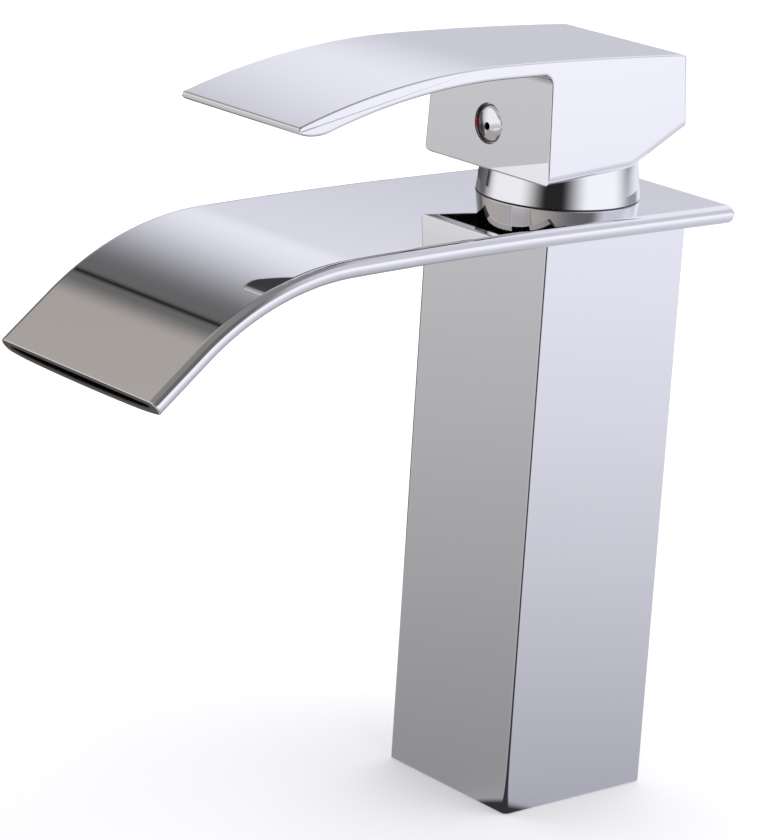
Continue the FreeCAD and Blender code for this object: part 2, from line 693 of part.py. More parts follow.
GROOVE_MIDDLE = f"(({CEILING} + {SHOULDER}) / 2)"
SHELL_GROOVE = f"({BORE} - shell_ring)"

def make_cartridge_shell():
    """Cartridge housing with a seal groove, a collar for the carrier and an outlet notch."""
    groove_low = f"({GROOVE_MIDDLE} - shell_ring / 2 - shaft_gap)"
    groove_high = f"({GROOVE_MIDDLE} + shell_ring / 2 + shaft_gap)"
    low = f"({FLOOR} + base_flange)"
    carrier_bore = "(carrier_radius + shaft_gap)"
    blank = turned("shell_blank", [
        (SHELL_INNER, low),
        ("cartridge_radius", low),
        ("cartridge_radius", groove_low),
        (SHELL_GROOVE, groove_low),
        (SHELL_GROOVE, groove_high),
        ("cartridge_radius", groove_high),
        ("cartridge_radius", SHOULDER),
        ("dome_radius", SHOULDER),
        ("dome_radius", DOME_TOP),
        (carrier_bore, DOME_TOP),
        (carrier_bore, CEILING),
        (SHELL_INNER, CEILING),
    ])
    notch = box(
        "shell_notch", "2 * outlet_radius", "cartridge_radius", f"{BASE_TOP} - base_flange - {FLOOR}",
        y="cartridge_radius", z=low)
    return cut("cartridge_shell", blank, notch)


def make_cartridge_base():
    """Lower end of the cartridge: two inlets up through it, one outlet that turns out to the rear."""
    blank = turned("base_blank", [
        ("0", FLOOR),
        ("cartridge_radius", FLOOR),
        ("cartridge_radius", f"{FLOOR} + base_flange"),
        (BASE_RIM, f"{FLOOR} + base_flange"),
        (BASE_RIM, BASE_TOP),
        ("0", BASE_TOP),
    ])
    shelf = "port_ring"
    outlet_low = f"({FLOOR} + base_flange)"
    tools = [
        rod("base_outlet", "outlet_radius", outlet_low, BASE_TOP, y="outlet_back"),
        rod(
            "base_outlet_shelf", "outlet_radius + seal_shelf", f"{BASE_TOP} - {shelf}", BASE_TOP,
            y="outlet_back"),
        box(
            "base_outlet_turn", "2 * outlet_radius - seal_shelf", "cartridge_radius",
            f"{BASE_TOP} - {outlet_low} - 2 * {shelf}",
            y="outlet_back + cartridge_radius / 2", z=outlet_low),
    ]
    for side, x, y in PORTS:
        word = SIDE_NAMES[side]
        tools.append(rod(f"{word}_base_port", "port_radius", FLOOR, BASE_TOP, x, y))
        tools.append(rod(
            f"{word}_base_upper_shelf", "port_radius + seal_shelf", f"{BASE_TOP} - {shelf}", BASE_TOP,
            x, y))
        tools.append(rod(
            f"{word}_base_lower_shelf", "port_radius + seal_shelf", FLOOR, f"{FLOOR} + {shelf}", x, y))
    body = cut("base_ported", blank, *tools)
    keys = [
        box(
            f"base_key_{index}", "key_width", "key_width", "base_flange + fixed_disc_thickness / 2",
            x=f"{side} * ({KEY_OUTER} - key_width / 2)", z=f"{BASE_TOP} - base_flange")
        for index, side in enumerate((-1, 1))
    ]
    return join("cartridge_base", body, *keys)


def port_seal(name, port, low, x, y):
    """A seal on the shelf round a port."""
    return seal(name, f"({port} + seal_shelf)", "port_ring", low, x, y)


def make_disc_port_seals():
    low = f"({BASE_TOP} - port_ring)"
    rings = [port_seal(f"{SIDE_NAMES[side]}_disc_seal", "port_radius", low, x, y) for side, x, y in PORTS]
    rings.append(port_seal("outlet_disc_seal", "outlet_radius", low, "0", "outlet_back"))
    return group("disc_port_seals", *rings)


def make_base_port_seals():
    rings = [port_seal(f"{SIDE_NAMES[side]}_base_seal", "port_radius", FLOOR, x, y) for side, x, y in PORTS]
    return group("base_port_seals", *rings)


def make_fixed_disc():
    """Lower ceramic disc: two inlets, one outlet and two key notches."""
    tools = [
        rod(f"{SIDE_NAMES[side]}_disc_port", "port_radius", BASE_TOP, FIXED_TOP, x, y)
        for side, x, y in PORTS
    ]
    tools.append(rod("disc_outlet", "outlet_radius", BASE_TOP, FIXED_TOP, y="outlet_back"))
    notch = f"({KEY_OUTER} - key_width - cartridge_gap)"
    tools += [
        box(
            f"disc_notch_{index}", "cartridge_radius", "key_width + 2 * cartridge_gap",
            "fixed_disc_thickness", x=f"{side} * ({notch} + cartridge_radius / 2)", z=BASE_TOP)
        for index, side in enumerate((-1, 1))
    ]
    blank = rod("fixed_disc_blank", BASE_RIM, BASE_TOP, FIXED_TOP)
    return cut("fixed_disc", blank, *tools)


DISC_REST = "(disc_travel / 2)"
PEGS = [(index, f"{side} * peg_spacing / 2") for index, side in enumerate((-1, 1))]


def make_moving_disc():
    """Upper ceramic disc with its mixing pocket below and two peg holes above."""
    blank = rod("moving_disc_blank", "moving_disc_radius", MOVING_LOW, DRIVER_LOW, y=DISC_REST)
    pocket_top = f"({MOVING_LOW} + pocket_depth)"
    pocket_back = "(outlet_back + pocket_shift)"
    tools = [
        rod("pocket_round", "pocket_radius", MOVING_LOW, pocket_top, y=pocket_back),
        box(
            "pocket_tongue", "tongue_width", f"{pocket_back} + running_gap", "pocket_depth",
            y=f"({pocket_back} - running_gap) / 2", z=MOVING_LOW),
    ]
    tools += [
        rod(f"peg_hole_{index}", "peg_radius + cartridge_gap", f"{DRIVER_LOW} - peg_height - cartridge_gap",
            DRIVER_LOW, x, DISC_REST)
        for index, x in PEGS
    ]
    return cut("moving_disc", blank, *tools)


def make_disc_driver():
    """Slider with the ball socket, two guide rails above and two pegs below."""
    blank = rod("driver_blank", "moving_disc_radius", DRIVER_LOW, DRIVER_TOP, y=DISC_REST)
    socket = "(ball_radius + ball_gap)"
    relief = f"({socket} + relief_length)"
    tools = [
        rod("ball_socket", socket, f"{BALL} - {socket}", DRIVER_TOP),
        box(
            "shank_relief", "2 * shank_radius + 2 * ball_gap", relief,
            f"{DRIVER_TOP} - {BALL} - relief_rise", y=f"{relief} / 2", z=f"{BALL} + relief_rise"),
    ]
    additions = [
        rod(f"driver_peg_{index}", "peg_radius", f"{DRIVER_LOW} - peg_height", f"{DRIVER_LOW} + peg_height",
            x, DISC_REST)
        for index, x in PEGS
    ]
    additions += [
        box(
            f"driver_rail_{index}", "rail_width", "moving_disc_radius", f"rail_height + {socket}",
            x=f"{side} * rail_spacing / 2", y=DISC_REST, z=f"{DRIVER_TOP} - {socket}")
        for index, side in enumerate((-1, 1))
    ]
    return cut("disc_driver", join("driver_solid", blank, *additions), *tools)


def make_stem_carrier():
    """Turning barrel that holds the stem's pin; grooves below guide the slider."""
    top = f"({DOME_TOP} - carrier_low)"
    rim = f"({BASE_RIM} - running_gap)"
    blank = turned("carrier_blank", [
        ("0", FLANGE_LOW),
        (rim, FLANGE_LOW),
        (rim, FLANGE_TOP),
        ("carrier_radius", FLANGE_TOP),
        ("carrier_radius", top),
        ("0", top),
    ])
    slot = box(
        "carrier_slot", "stem_width + 2 * cartridge_gap", "slot_front + slot_rear", f"{top} - {FLANGE_LOW}",
        y="(slot_rear - slot_front) / 2", z=FLANGE_LOW)
    grooves = [
        box(
            f"carrier_groove_{index}", "rail_width + 2 * running_gap", f"2 * {rim}",
            "rail_height + running_gap", x=f"{side} * rail_spacing / 2", z=FLANGE_LOW)
        for index, side in enumerate((-1, 1))
    ]
    pin_hole = rod_across("carrier_pin_hole", "pin_radius", "2 * carrier_radius + rail_width", PIVOT)
    return cut("stem_carrier", blank, slot, pin_hole, *grooves)


def make_pivot_pin():
    return rod_across("pivot_pin", "pin_radius", "2 * carrier_radius - 4 * shaft_gap", PIVOT)


def make_cartridge_stem():
    """Square stem with a round shank and a ball at its lower end."""
    low = f"({PIVOT} - stem_below_pin)"
    high = f"({SOCKET_TOP} - stem_end_gap)"
    solid = join(
        "stem_solid",
        box("stem_square", "stem_width", "stem_width", f"{high} - {low}", z=low),
        rod("stem_shank", "shank_radius", BALL, f"{low} + shank_radius"),
        ball("stem_ball", "ball_radius", z=BALL))
    pin_hole = rod_across("stem_pin_hole", "pin_radius + shaft_gap", "2 * stem_width", PIVOT)
    return cut("cartridge_stem", solid, pin_hole)


# ---------------------------------------------------------------- lever

TIP_SHARE = "((lever_reach - tip_run - crown_front) ^ 2 / (lever_reach - crown_front) ^ 2)"


def lever_outline():
    """The lever seen from its side: block at the rear, thin arched blade to the front."""
    front = f"-{LEVER_FRONT}"
    rise = "(lever_height - lever_rear_drop)"
    root_low = f"({CROWN} - blade_root)"
    tip_top = f"({CROWN} - tip_drop)"
    tip_low = f"({tip_top} - tip_face)"
    corner = "(-lever_reach + tip_run)"
    corner_low = f"({CROWN} - tip_drop * {TIP_SHARE} - blade_tip)"
    back_run = f"(crown_front + {LEVER_REAR} - lever_rear_lean)"
    back_arc = f"({back_run} ^ 2 + lever_rear_drop ^ 2) / (2 * lever_rear_drop)"
    top_arc = "((lever_reach - crown_front) ^ 2 + tip_drop ^ 2) / (2 * tip_drop)"
    run = "(lever_reach - tip_run - crown_front)"
    fall = f"({root_low} - {corner_low})"
    low_arc = f"({run} ^ 2 + {fall} ^ 2) / (2 * {fall})"
    corners = [
        (front, LEVER_LOW),
        ("lever_knee_back", f"{LEVER_LOW} + lever_knee_rise"),
        (LEVER_REAR, f"{LEVER_LOW} + lever_rear_foot"),
        (f"{LEVER_REAR} - lever_rear_lean", f"{LEVER_LOW} + {rise}"),
        ("-crown_front", CROWN),
        ("-lever_reach", tip_top),
        ("-lever_reach", tip_low),
        (corner, corner_low),
        ("-crown_front", root_low),
        (f"{front} - throat_radius", root_low),
        (front, f"{root_low} - throat_radius"),
    ]
    arcs = {
        3: (back_arc, 1),
        4: (top_arc, 1),
        6: ("tip_radius", 1),
        7: (low_arc, -1),
        9: ("throat_radius", -1),
    }
    return corners, arcs


def inner_outline():
    """The hollow of the block, seen from its side."""
    front = f"(-{LEVER_FRONT} + lever_wall)"
    rear = f"({LEVER_REAR} - lever_wall)"
    ceiling = f"({LEVER_LOW} + lever_height - lever_rear_drop - lever_wall)"
    return [
        (front, f"{LEVER_LOW} - lever_wall"),
        (rear, f"{LEVER_LOW} - lever_wall"),
        (rear, f"{LEVER_LOW} + lever_rear_foot"),
        (f"{rear} - lever_rear_lean", ceiling),
        (front, ceiling),
    ]


def front_outline(inset):
    """The lever seen from the front: the sides lean in towards the crown."""
    low, high = f"({LEVER_LOW} - lever_wall)", f"({CROWN} + lever_wall)"
    lean = "(lever_draft * lever_wall / lever_height)"
    wide = f"({LEVER_HALF} - {inset} + {lean})"
    narrow = f"({LEVER_HALF} - {inset} - lever_draft - {lean})"
    return [(f"-{wide}", low), (wide, low), (narrow, high), (f"-{narrow}", high)]


def make_lever():
    """Cast lever: hollow block over the bonnet, arched blade, boss for the stem."""
    span = f"(4 * {LEVER_HALF})"
    length = "(4 * lever_reach)"
    corners, arcs = lever_outline()
    blank = common(
        "lever_blank",
        padded("lever_side", "YZ_Plane", corners, span, arcs),
        padded("lever_face", "XZ_Plane", front_outline("0"), length))
    cast = new_body("lever_cast")
    cast.BaseFeature = blank
    doc.recompute()
    throat = number(f"{CROWN} - blade_root - throat_radius")
    ahead = number(f"-{LEVER_FRONT} - throat_radius")

    def rounded_edge(edge, middle, along):
        """Each edge but those across the blade and its throat."""
        across_blade = abs(along.x) > 0.9 and middle.z > throat - 0.1 and middle.y < ahead / 2
        return not across_blade

    rounded = cast.newObject("PartDesign::Fillet", "lever_rounded")
    rounded.Base = (cast.Group[0], edges_where(cast.Group[0].Shape, rounded_edge))
    bind(rounded, Radius="lever_edge")
    hollow = common(
        "lever_hollow",
        padded("hollow_side", "YZ_Plane", inner_outline(), span),
        padded("hollow_face", "XZ_Plane", front_outline("lever_wall"), length))
    shell = cut("lever_shell", cast, hollow)
    width = "(stem_width + 2 * stem_gap)"
    boss_top = f"({LEVER_LOW} + lever_height - lever_rear_drop - lever_wall / 2)"
    boss = box(
        "lever_boss", f"{width} + 2 * boss_wall", f"{width} + boss_wall + boss_front",
        f"{boss_top} - {BOSS_LOW}", y="(boss_wall - boss_front) / 2", z=BOSS_LOW)
    socket = box("stem_socket", width, width, "stem_socket", z=BOSS_LOW)
    screw_hole = rod_back(
        "screw_hole", "screw_radius + shaft_gap", f"-{width} / 2 - boss_front - lever_wall", "0", z=DIAL)
    dial_hole = rod_back(
        "dial_hole", "dial_radius", f"-{LEVER_FRONT} - lever_wall", f"-{LEVER_FRONT} + 2 * lever_wall",
        z=DIAL)
    return cut("lever_handle", join("lever_solid", shell, boss), socket, screw_hole, dial_hole)


PLUG_RADIUS = "(dial_radius - plug_gap)"
MARK_DISH = f"(plug_dish * (1 - mark_offset / {PLUG_RADIUS}))"
MARK_FACE = f"(-{PLUG_RIM} + {MARK_DISH} - mark_proud)"


def make_indicator_plug():
    """Plug with a conical face, an eye in the middle and a seat for each mark."""
    rim = f"(-{PLUG_RIM})"
    blank = rod_back("plug_blank", PLUG_RADIUS, rim, f"{rim} + plug_length", z=DIAL)
    dish = doc.addObject("Part::Cone", "plug_dish_cone")
    dish.Placement.Rotation = FreeCAD.Rotation(FreeCAD.Vector(1, 0, 0), -90)
    bind(
        dish, Radius1=f"2 * {PLUG_RADIUS}", Radius2="0", Height="2 * plug_dish",
        y=f"{rim} - plug_dish", z=DIAL)
    tools = [
        dish,
        rod_back("plug_eye_hole", "plug_eye", rim, f"{rim} + plug_dish + plug_eye_depth", z=DIAL),
    ]
    for side in (-1, 1):
        tools.append(rod_back(
            f"{SIDE_NAMES[side]}_mark_seat", "mark_radius + plug_gap", rim,
            f"{MARK_FACE} + mark_proud + mark_depth", x=f"{side} * mark_offset", z=DIAL))
    return cut("indicator_plug", blank, *tools)


def make_mark(side):
    """Coloured dot in the plug's face."""
    return rod_back(
        f"{SIDE_NAMES[side]}_mark", "mark_radius", MARK_FACE, f"{MARK_FACE} + mark_proud + mark_depth",
        x=f"{side} * mark_offset", z=DIAL)


def make_grub_screw():
    """Headless screw with a hexagon socket, against the front of the stem."""
    rear = "(-stem_width / 2)"
    front = f"({rear} - screw_length)"
    blank = rod_back("screw_blank", "screw_radius", front, rear, z=DIAL)
    hexagon = doc.addObject("Part::Prism", "screw_socket")
    hexagon.Polygon = 6
    hexagon.Placement.Rotation = FreeCAD.Rotation(FreeCAD.Vector(1, 0, 0), -90)
    bind(hexagon, Circumradius="hex_width / sqrt(3)", Height="hex_depth", y=front, z=DIAL)
    return cut("grub_screw", blank, hexagon)


# ---------------------------------------------------------------- the parts

def make_parts():
    parts = [
        make_column(),
        make_spout(),
        make_valve_body(),
        make_inlet_block(),
        *[make_riser(side, x, y) for side, x, y in INLETS],
        make_riser_seals(),
        seal("base_seal", SEAL_OUTER, "base_ring", "0"),
        make_bonnet(),
        seal(
            "bonnet_seal", f"({NECK} - bonnet_thread + shaft_gap + bonnet_ring)", "bonnet_ring", SPOUT_TOP),
        make_cartridge_nut(),
        make_thrust_washer(),
        make_cartridge_shell(),
        make_cartridge_base(),
        seal("cartridge_seal", BORE, "shell_ring", f"({GROOVE_MIDDLE} - shell_ring / 2)"),
        make_base_port_seals(),
        make_disc_port_seals(),
        make_fixed_disc(),
        make_moving_disc(),
        make_disc_driver(),
        make_stem_carrier(),
        make_pivot_pin(),
        make_cartridge_stem(),
        make_lever(),
        make_indicator_plug(),
        make_mark(-1),
        make_mark(1),
        make_grub_screw(),
    ]
    return parts


def check(parts):
    """Stop if any object failed or any part isn't a sound solid."""
    for thing in doc.Objects:
        if "Invalid" in thing.State or "Error" in thing.State:
            raise RuntimeError(f"{thing.Name} failed: {thing.State}")
    for part in parts:
        if part.Shape.isNull() or not part.Shape.isValid() or not part.Shape.Solids:
            raise RuntimeError(f"{part.Name} is not a sound solid")


parts = make_parts()
doc.recompute()
check(parts)
os.makedirs("parts", exist_ok=True)
for part in parts:
    part.Label = part.Name
    part.Shape.exportStep(f"parts/{part.Name}.step")
    bounds = part.Shape.BoundBox
    print(
        f"{part.Name}: {len(part.Shape.Solids)} solid(s), {part.Shape.Volume:.1f} mm3, "
        f"z {bounds.ZMin:.2f} to {bounds.ZMax:.2f}")
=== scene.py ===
import json
import math

import bpy
import bmesh
from mathutils import Matrix, Vector


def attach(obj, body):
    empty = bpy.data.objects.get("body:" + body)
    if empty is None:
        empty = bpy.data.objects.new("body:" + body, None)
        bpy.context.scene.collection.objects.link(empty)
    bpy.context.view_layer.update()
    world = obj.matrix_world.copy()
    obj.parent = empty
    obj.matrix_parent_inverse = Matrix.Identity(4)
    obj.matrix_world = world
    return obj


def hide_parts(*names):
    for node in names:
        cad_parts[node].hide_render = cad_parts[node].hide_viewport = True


# Looks of the waterfall basin mixer: mirror chrome between plain studio panels.
# Metres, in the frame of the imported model: +Z up, spout and lever towards -Y.

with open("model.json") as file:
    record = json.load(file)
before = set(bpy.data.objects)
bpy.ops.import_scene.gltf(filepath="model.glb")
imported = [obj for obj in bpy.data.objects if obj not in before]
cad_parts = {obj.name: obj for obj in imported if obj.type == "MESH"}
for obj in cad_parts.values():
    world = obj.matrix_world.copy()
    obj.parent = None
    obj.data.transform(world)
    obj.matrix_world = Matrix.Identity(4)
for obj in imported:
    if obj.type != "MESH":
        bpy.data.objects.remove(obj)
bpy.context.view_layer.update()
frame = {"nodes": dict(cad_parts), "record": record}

# ---------------------------------------------------------------- camera

IMAGE_HEIGHT, FOCAL_PIXELS = 840, 3690.0
SENSOR_MM = 36.0
FAR_CLIP = 20
AZIMUTH, ELEVATION, ROLL = 50.107, 16.094, 3.615
DISTANCE = 0.78646
TARGET = Vector((-0.005393, -0.040, 0.085945))


def make_camera():
    """The photograph's camera: it looks at TARGET from its azimuth and elevation, slightly rolled."""
    azimuth, elevation, roll = (math.radians(angle) for angle in (AZIMUTH, ELEVATION, ROLL))
    back = Vector((
        math.sin(azimuth) * math.cos(elevation),
        -math.cos(azimuth) * math.cos(elevation),
        math.sin(elevation),
    ))
    right = (-back).cross(Vector((0, 0, 1))).normalized()
    up = right.cross(-back)
    rolled_right = right * math.cos(roll) + up * math.sin(roll)
    rolled_up = up * math.cos(roll) - right * math.sin(roll)
    data = bpy.data.cameras.new("photo_camera")
    data.sensor_fit = "AUTO"
    data.sensor_width = SENSOR_MM
    data.lens = FOCAL_PIXELS / IMAGE_HEIGHT * SENSOR_MM
    data.clip_end = FAR_CLIP
    camera = bpy.data.objects.new("photo_camera", data)
    bpy.context.scene.collection.objects.link(camera)
    turn = Matrix((rolled_right, rolled_up, back)).transposed().to_4x4()
    camera.matrix_world = Matrix.Translation(TARGET + back * DISTANCE) @ turn
    bpy.context.scene.camera = camera


make_camera()

# ---------------------------------------------------------------- materials


def linear(value):
    """A display value from 0 to 1 as the linear one that shaders use."""
    return value / 12.92 if value <= 0.04045 else ((value + 0.055) / 1.055) ** 2.4


def colour(red, green, blue):
    return linear(red), linear(green), linear(blue), 1.0


class Nodes:
    """A small writer of node trees: add() makes a node, sets its inputs and links the rest."""

    def __init__(self, tree):
        self.tree = tree

    def add(self, kind, settings=None, **inputs):
        node = self.tree.nodes.new(kind)
        for name, value in (settings or {}).items():
            setattr(node, name, value)
        for name, value in inputs.items():
            self.set(node, name.replace("_", " "), value)
        return node

    def set(self, node, name, value):
        """Set or link an input by its name, or by its number as in0, in1 and so on."""
        numbered = name.startswith("in") and name[2:].isdigit()
        socket = node.inputs[int(name[2:]) if numbered else name]
        if isinstance(value, bpy.types.NodeSocket):
            self.tree.links.new(value, socket)
        else:
            socket.default_value = value

    def math(self, operation, *values, clamp=False):
        node = self.tree.nodes.new("ShaderNodeMath")
        node.operation = operation
        node.use_clamp = clamp
        for index, value in enumerate(values):
            self.set(node, f"in{index}", value)
        return node.outputs[0]

    def smooth(self, value, low, high):
        """0 below low and 1 above high, with a smooth step between."""
        node = self.tree.nodes.new("ShaderNodeMapRange")
        node.interpolation_type = "SMOOTHSTEP"
        self.set(node, "Value", value)
        self.set(node, "From Min", low)
        self.set(node, "From Max", high)
        return node.outputs["Result"]


    def seen_by_eye(self):
        """1 for rays from the camera, from mirrors and through glass, and 0 for the rest."""
        ray = self.add("ShaderNodeLightPath").outputs
        seen = self.math("MAXIMUM", ray["Is Camera Ray"], ray["Is Glossy Ray"])
        return self.math("MAXIMUM", seen, ray["Is Transmission Ray"])

    def glow(self, tone):
        """Make the material a plain light of this tone."""
        light = self.add("ShaderNodeEmission", Color=tone, Strength=1.0)
        self.add("ShaderNodeOutputMaterial", Surface=light.outputs[0])


def new_material(name):
    material = bpy.data.materials.new(name)
    material.use_nodes = True
    material.node_tree.nodes.clear()
    return material, Nodes(material.node_tree)


def finish_with(nodes, shader, material, bump_scale, bump_depth, detail=2.0):
    """Give a shader its fine bump and put it on the material's output."""
    place = nodes.add("ShaderNodeTexCoord").outputs["Object"]
    grain = nodes.add(
        "ShaderNodeTexNoise", Vector=place, Scale=bump_scale, Detail=detail).outputs[0]
    bump = nodes.add("ShaderNodeBump", Strength=0.2, Distance=bump_depth, Height=grain)
    nodes.set(shader, "Normal", bump.outputs["Normal"])
    nodes.add("ShaderNodeOutputMaterial", Surface=shader.outputs["BSDF"])
    return material


def varied(nodes, low, high, scale, stretch=(1.0, 1.0, 1.0)):
    """A value that wanders between low and high over the surface."""
    place = nodes.add("ShaderNodeTexCoord").outputs["Object"]
    mapped = nodes.add("ShaderNodeMapping", Vector=place, Scale=stretch).outputs[0]
    cloud = nodes.add("ShaderNodeTexNoise", Vector=mapped, Scale=scale, Detail=3.0).outputs[0]
    spread = nodes.add("ShaderNodeMapRange", Value=cloud)
    nodes.set(spread, "From Min", 0.3)
    nodes.set(spread, "From Max", 0.7)
    nodes.set(spread, "To Min", low)
    nodes.set(spread, "To Max", high)
    return spread.outputs["Result"]


def chrome_material(name, low, high):
    """Mirror chrome: clear, with faint wiped patches and the slow ripple of a hand polish."""
    material, nodes = new_material(name)
    shader = nodes.add("ShaderNodeBsdfPrincipled", Metallic=1.0)
    nodes.set(shader, "Base Color", colour(0.97, 0.97, 0.985))
    nodes.set(shader, "Roughness", varied(nodes, low, high, 45.0))
    return finish_with(nodes, shader, material, 70.0, 0.00002, 0.0)


def tinted(
        name, dark, light, roughness, metallic=0.0, scale=300.0, depth=0.00004, stretch=(1.0, 1.0, 1.0)):
    """A finish that wanders between two colours, with its own roughness range."""
    material, nodes = new_material(name)
    shader = nodes.add("ShaderNodeBsdfPrincipled", Metallic=metallic)
    share = varied(nodes, 0.0, 1.0, scale, stretch)
    mix = nodes.add(
        "ShaderNodeMix", {"data_type": "RGBA"}, in0=share, in6=colour(*dark), in7=colour(*light))
    nodes.set(shader, "Base Color", mix.outputs[2])
    nodes.set(shader, "Roughness", varied(nodes, *roughness, scale / 3, stretch))
    return finish_with(nodes, shader, material, scale * 2, depth)


chrome = chrome_material("mirror_chrome", 0.012, 0.045)
# A casting's metal painted much darker than the metal is: painted shade for the lever's hollow, boss, socket
# and screw bore, and for the button's eye.
shade_dark_casting = tinted(
    "bare_casting", (0.13, 0.13, 0.135), (0.20, 0.20, 0.205), (0.5, 0.65), 1.0, 900.0, 0.0002)
# A darker, rougher grey copy of the chrome: painted shade on the walls of the button's hole and on the
# bonnet's foot chamfer.
painted_shade_grey = tinted(
    "plated_bore", (0.44, 0.43, 0.44), (0.54, 0.53, 0.54), (0.22, 0.3), 1.0, 120.0, 0.00001)
# A darker, rougher grey copy of the chrome: painted shade inside the spout's passage, up to its closed rear
# end, and in its neck hole.
passage_shade_grey = tinted("plated_passage", (0.50, 0.48, 0.46), (0.62, 0.60, 0.57), (0.16, 0.26), 1.0)
# A dark copy of the chrome for the lip's end: a painted dark reflection.
lip_painted_reflection = tinted(
    "lip_edge", (0.22, 0.20, 0.19), (0.32, 0.29, 0.27), (0.2, 0.3), 1.0, 260.0, 0.00008)
FINISHES = {
    "chrome": chrome,
    "brass": tinted(
        "machined_brass", (0.74, 0.58, 0.30), (0.84, 0.68, 0.38), (0.22, 0.36), 1.0, 240.0,
        stretch=(1, 1, 12)),
    "copper": tinted(
        "drawn_copper", (0.72, 0.42, 0.30), (0.86, 0.54, 0.40), (0.24, 0.4), 1.0, 260.0,
        stretch=(6, 6, 0.5)),
    "rubber": tinted("black_rubber", (0.05, 0.05, 0.05), (0.09, 0.09, 0.09), (0.55, 0.75)),
    "slip_plastic": tinted("slip_plastic", (0.88, 0.88, 0.86), (0.94, 0.94, 0.92), (0.42, 0.55)),
    "cartridge_plastic": tinted(
        "moulded_plastic", (0.72, 0.73, 0.75), (0.80, 0.81, 0.83), (0.32, 0.45)),
    "slider_plastic": tinted("slider_plastic", (0.11, 0.28, 0.52), (0.15, 0.35, 0.60), (0.34, 0.46)),
    "disc_ceramic": tinted(
        "lapped_ceramic", (0.90, 0.88, 0.83), (0.96, 0.94, 0.89), (0.08, 0.16), 0.0, 600.0),
    "steel": tinted(
        "plain_steel", (0.58, 0.58, 0.59), (0.68, 0.68, 0.69), (0.22, 0.34), 1.0,
        stretch=(1, 12, 1)),
    "red_mark": tinted("red_enamel", (0.66, 0.04, 0.06), (0.80, 0.07, 0.09), (0.12, 0.22)),
    "blue_mark": tinted("blue_enamel", (0.05, 0.12, 0.50), (0.07, 0.17, 0.62), (0.12, 0.22)),
}
for subpart in frame["record"]["subparts"]:
    mesh = frame["nodes"][subpart["node"]].data
    mesh.materials.clear()
    mesh.materials.append(FINISHES[subpart["material_slot"]])

# ---------------------------------------------------------------- shaped pieces

MM = 0.001
SMOOTH_UP_TO = math.radians(32)
NORMAL_WEIGHT = 80


def add_object(name, form, materials):
    """A mesh object in the scene from a form, which is used up."""
    mesh = bpy.data.meshes.new(name)
    form.to_mesh(mesh)
    form.free()
    for material in materials:
        mesh.materials.append(material)
    thing = bpy.data.objects.new(name, mesh)
    bpy.context.scene.collection.objects.link(thing)
    return thing


def new_piece(name, form, materials):
    """A smooth mesh object from a form in millimetres."""
    bmesh.ops.scale(form, vec=(MM, MM, MM), verts=form.verts)
    bmesh.ops.recalc_face_normals(form, faces=form.faces)
    piece = add_object(name, form, materials)
    for face in piece.data.polygons:
        face.use_smooth = True
    return piece


def apply_modifiers(piece):
    """Keep a piece's mesh as its modifiers make it."""
    graph = bpy.context.evaluated_depsgraph_get()
    keep = bpy.data.meshes.new_from_object(piece.evaluated_get(graph))
    piece.modifiers.clear()
    old = piece.data
    piece.data = keep
    bpy.data.meshes.remove(old)


def settle(piece):
    """Mark a piece's sharp edges and weigh its normals by face area."""
    piece.data.name = piece.name
    for face in piece.data.polygons:
        face.use_smooth = True
    piece.data.set_sharp_from_angle(angle=SMOOTH_UP_TO)
    weigh = piece.modifiers.new("area_normals", "WEIGHTED_NORMAL")
    weigh.keep_sharp = True
    weigh.weight = NORMAL_WEIGHT


def carve(piece, tool, operation="DIFFERENCE"):
    """Cut a tool from a piece or join it on, then drop the tool."""
    bpy.context.view_layer.update()
    modifier = piece.modifiers.new("carve", "BOOLEAN")
    modifier.operation = operation
    modifier.solver = "EXACT"
    modifier.material_mode = "TRANSFER"
    modifier.object = tool
    apply_modifiers(piece)
    bpy.data.objects.remove(tool)


def arc(start, end, radius, steps, turn=1):
    """Points after start up to end on an arc that bulges to the right of its way, or to the left."""
    (y0, z0), (y1, z1) = start, end
    chord = math.hypot(y1 - y0, z1 - z0)
    reach = math.sqrt(max(radius ** 2 - chord ** 2 / 4, 0.0))
    centre_y = (y0 + y1) / 2 - (z1 - z0) / chord * reach * turn
    centre_z = (z0 + z1) / 2 + (y1 - y0) / chord * reach * turn
    first = math.atan2(z0 - centre_z, y0 - centre_y)
    sweep = 2 * math.asin(chord / 2 / radius) * turn
    return [
        (centre_y + radius * math.cos(first + sweep * step / steps),
         centre_z + radius * math.sin(first + sweep * step / steps))
        for step in range(1, steps + 1)]


def prism(outline, half_at):
    """A solid from a closed outline in Y and Z, with sides at plus and minus half_at(z)."""
    form = bmesh.new()
    sides = []
    for side in (-1, 1):
        sides.append([form.verts.new((side * half_at(z), y, z)) for y, z in outline])
    form.faces.new(sides[0])
    form.faces.new(list(reversed(sides[1])))
    for index in range(len(outline)):
        after = (index + 1) % len(outline)
        form.faces.new((sides[0][index], sides[1][index], sides[1][after], sides[0][after]))
    return form


def bevelled(piece, widths, segments=5):
    """Round the edges of a piece: widths is a function of an edge's two ends, in millimetres."""
    mesh = piece.data
    chosen = [widths(*(mesh.vertices[index].co / MM for index in edge.vertices)) for edge in mesh.edges]
    largest = max(chosen)
    weights = mesh.attributes.new("bevel_weight_edge", "FLOAT", "EDGE")
    for index, width in enumerate(chosen):
        weights.data[index].value = width / largest
    modifier = piece.modifiers.new("round", "BEVEL")
    modifier.limit_method = "WEIGHT"
    modifier.width = largest * MM
    modifier.segments = segments
    modifier.use_clamp_overlap = False
    modifier.loop_slide = True
    apply_modifiers(piece)


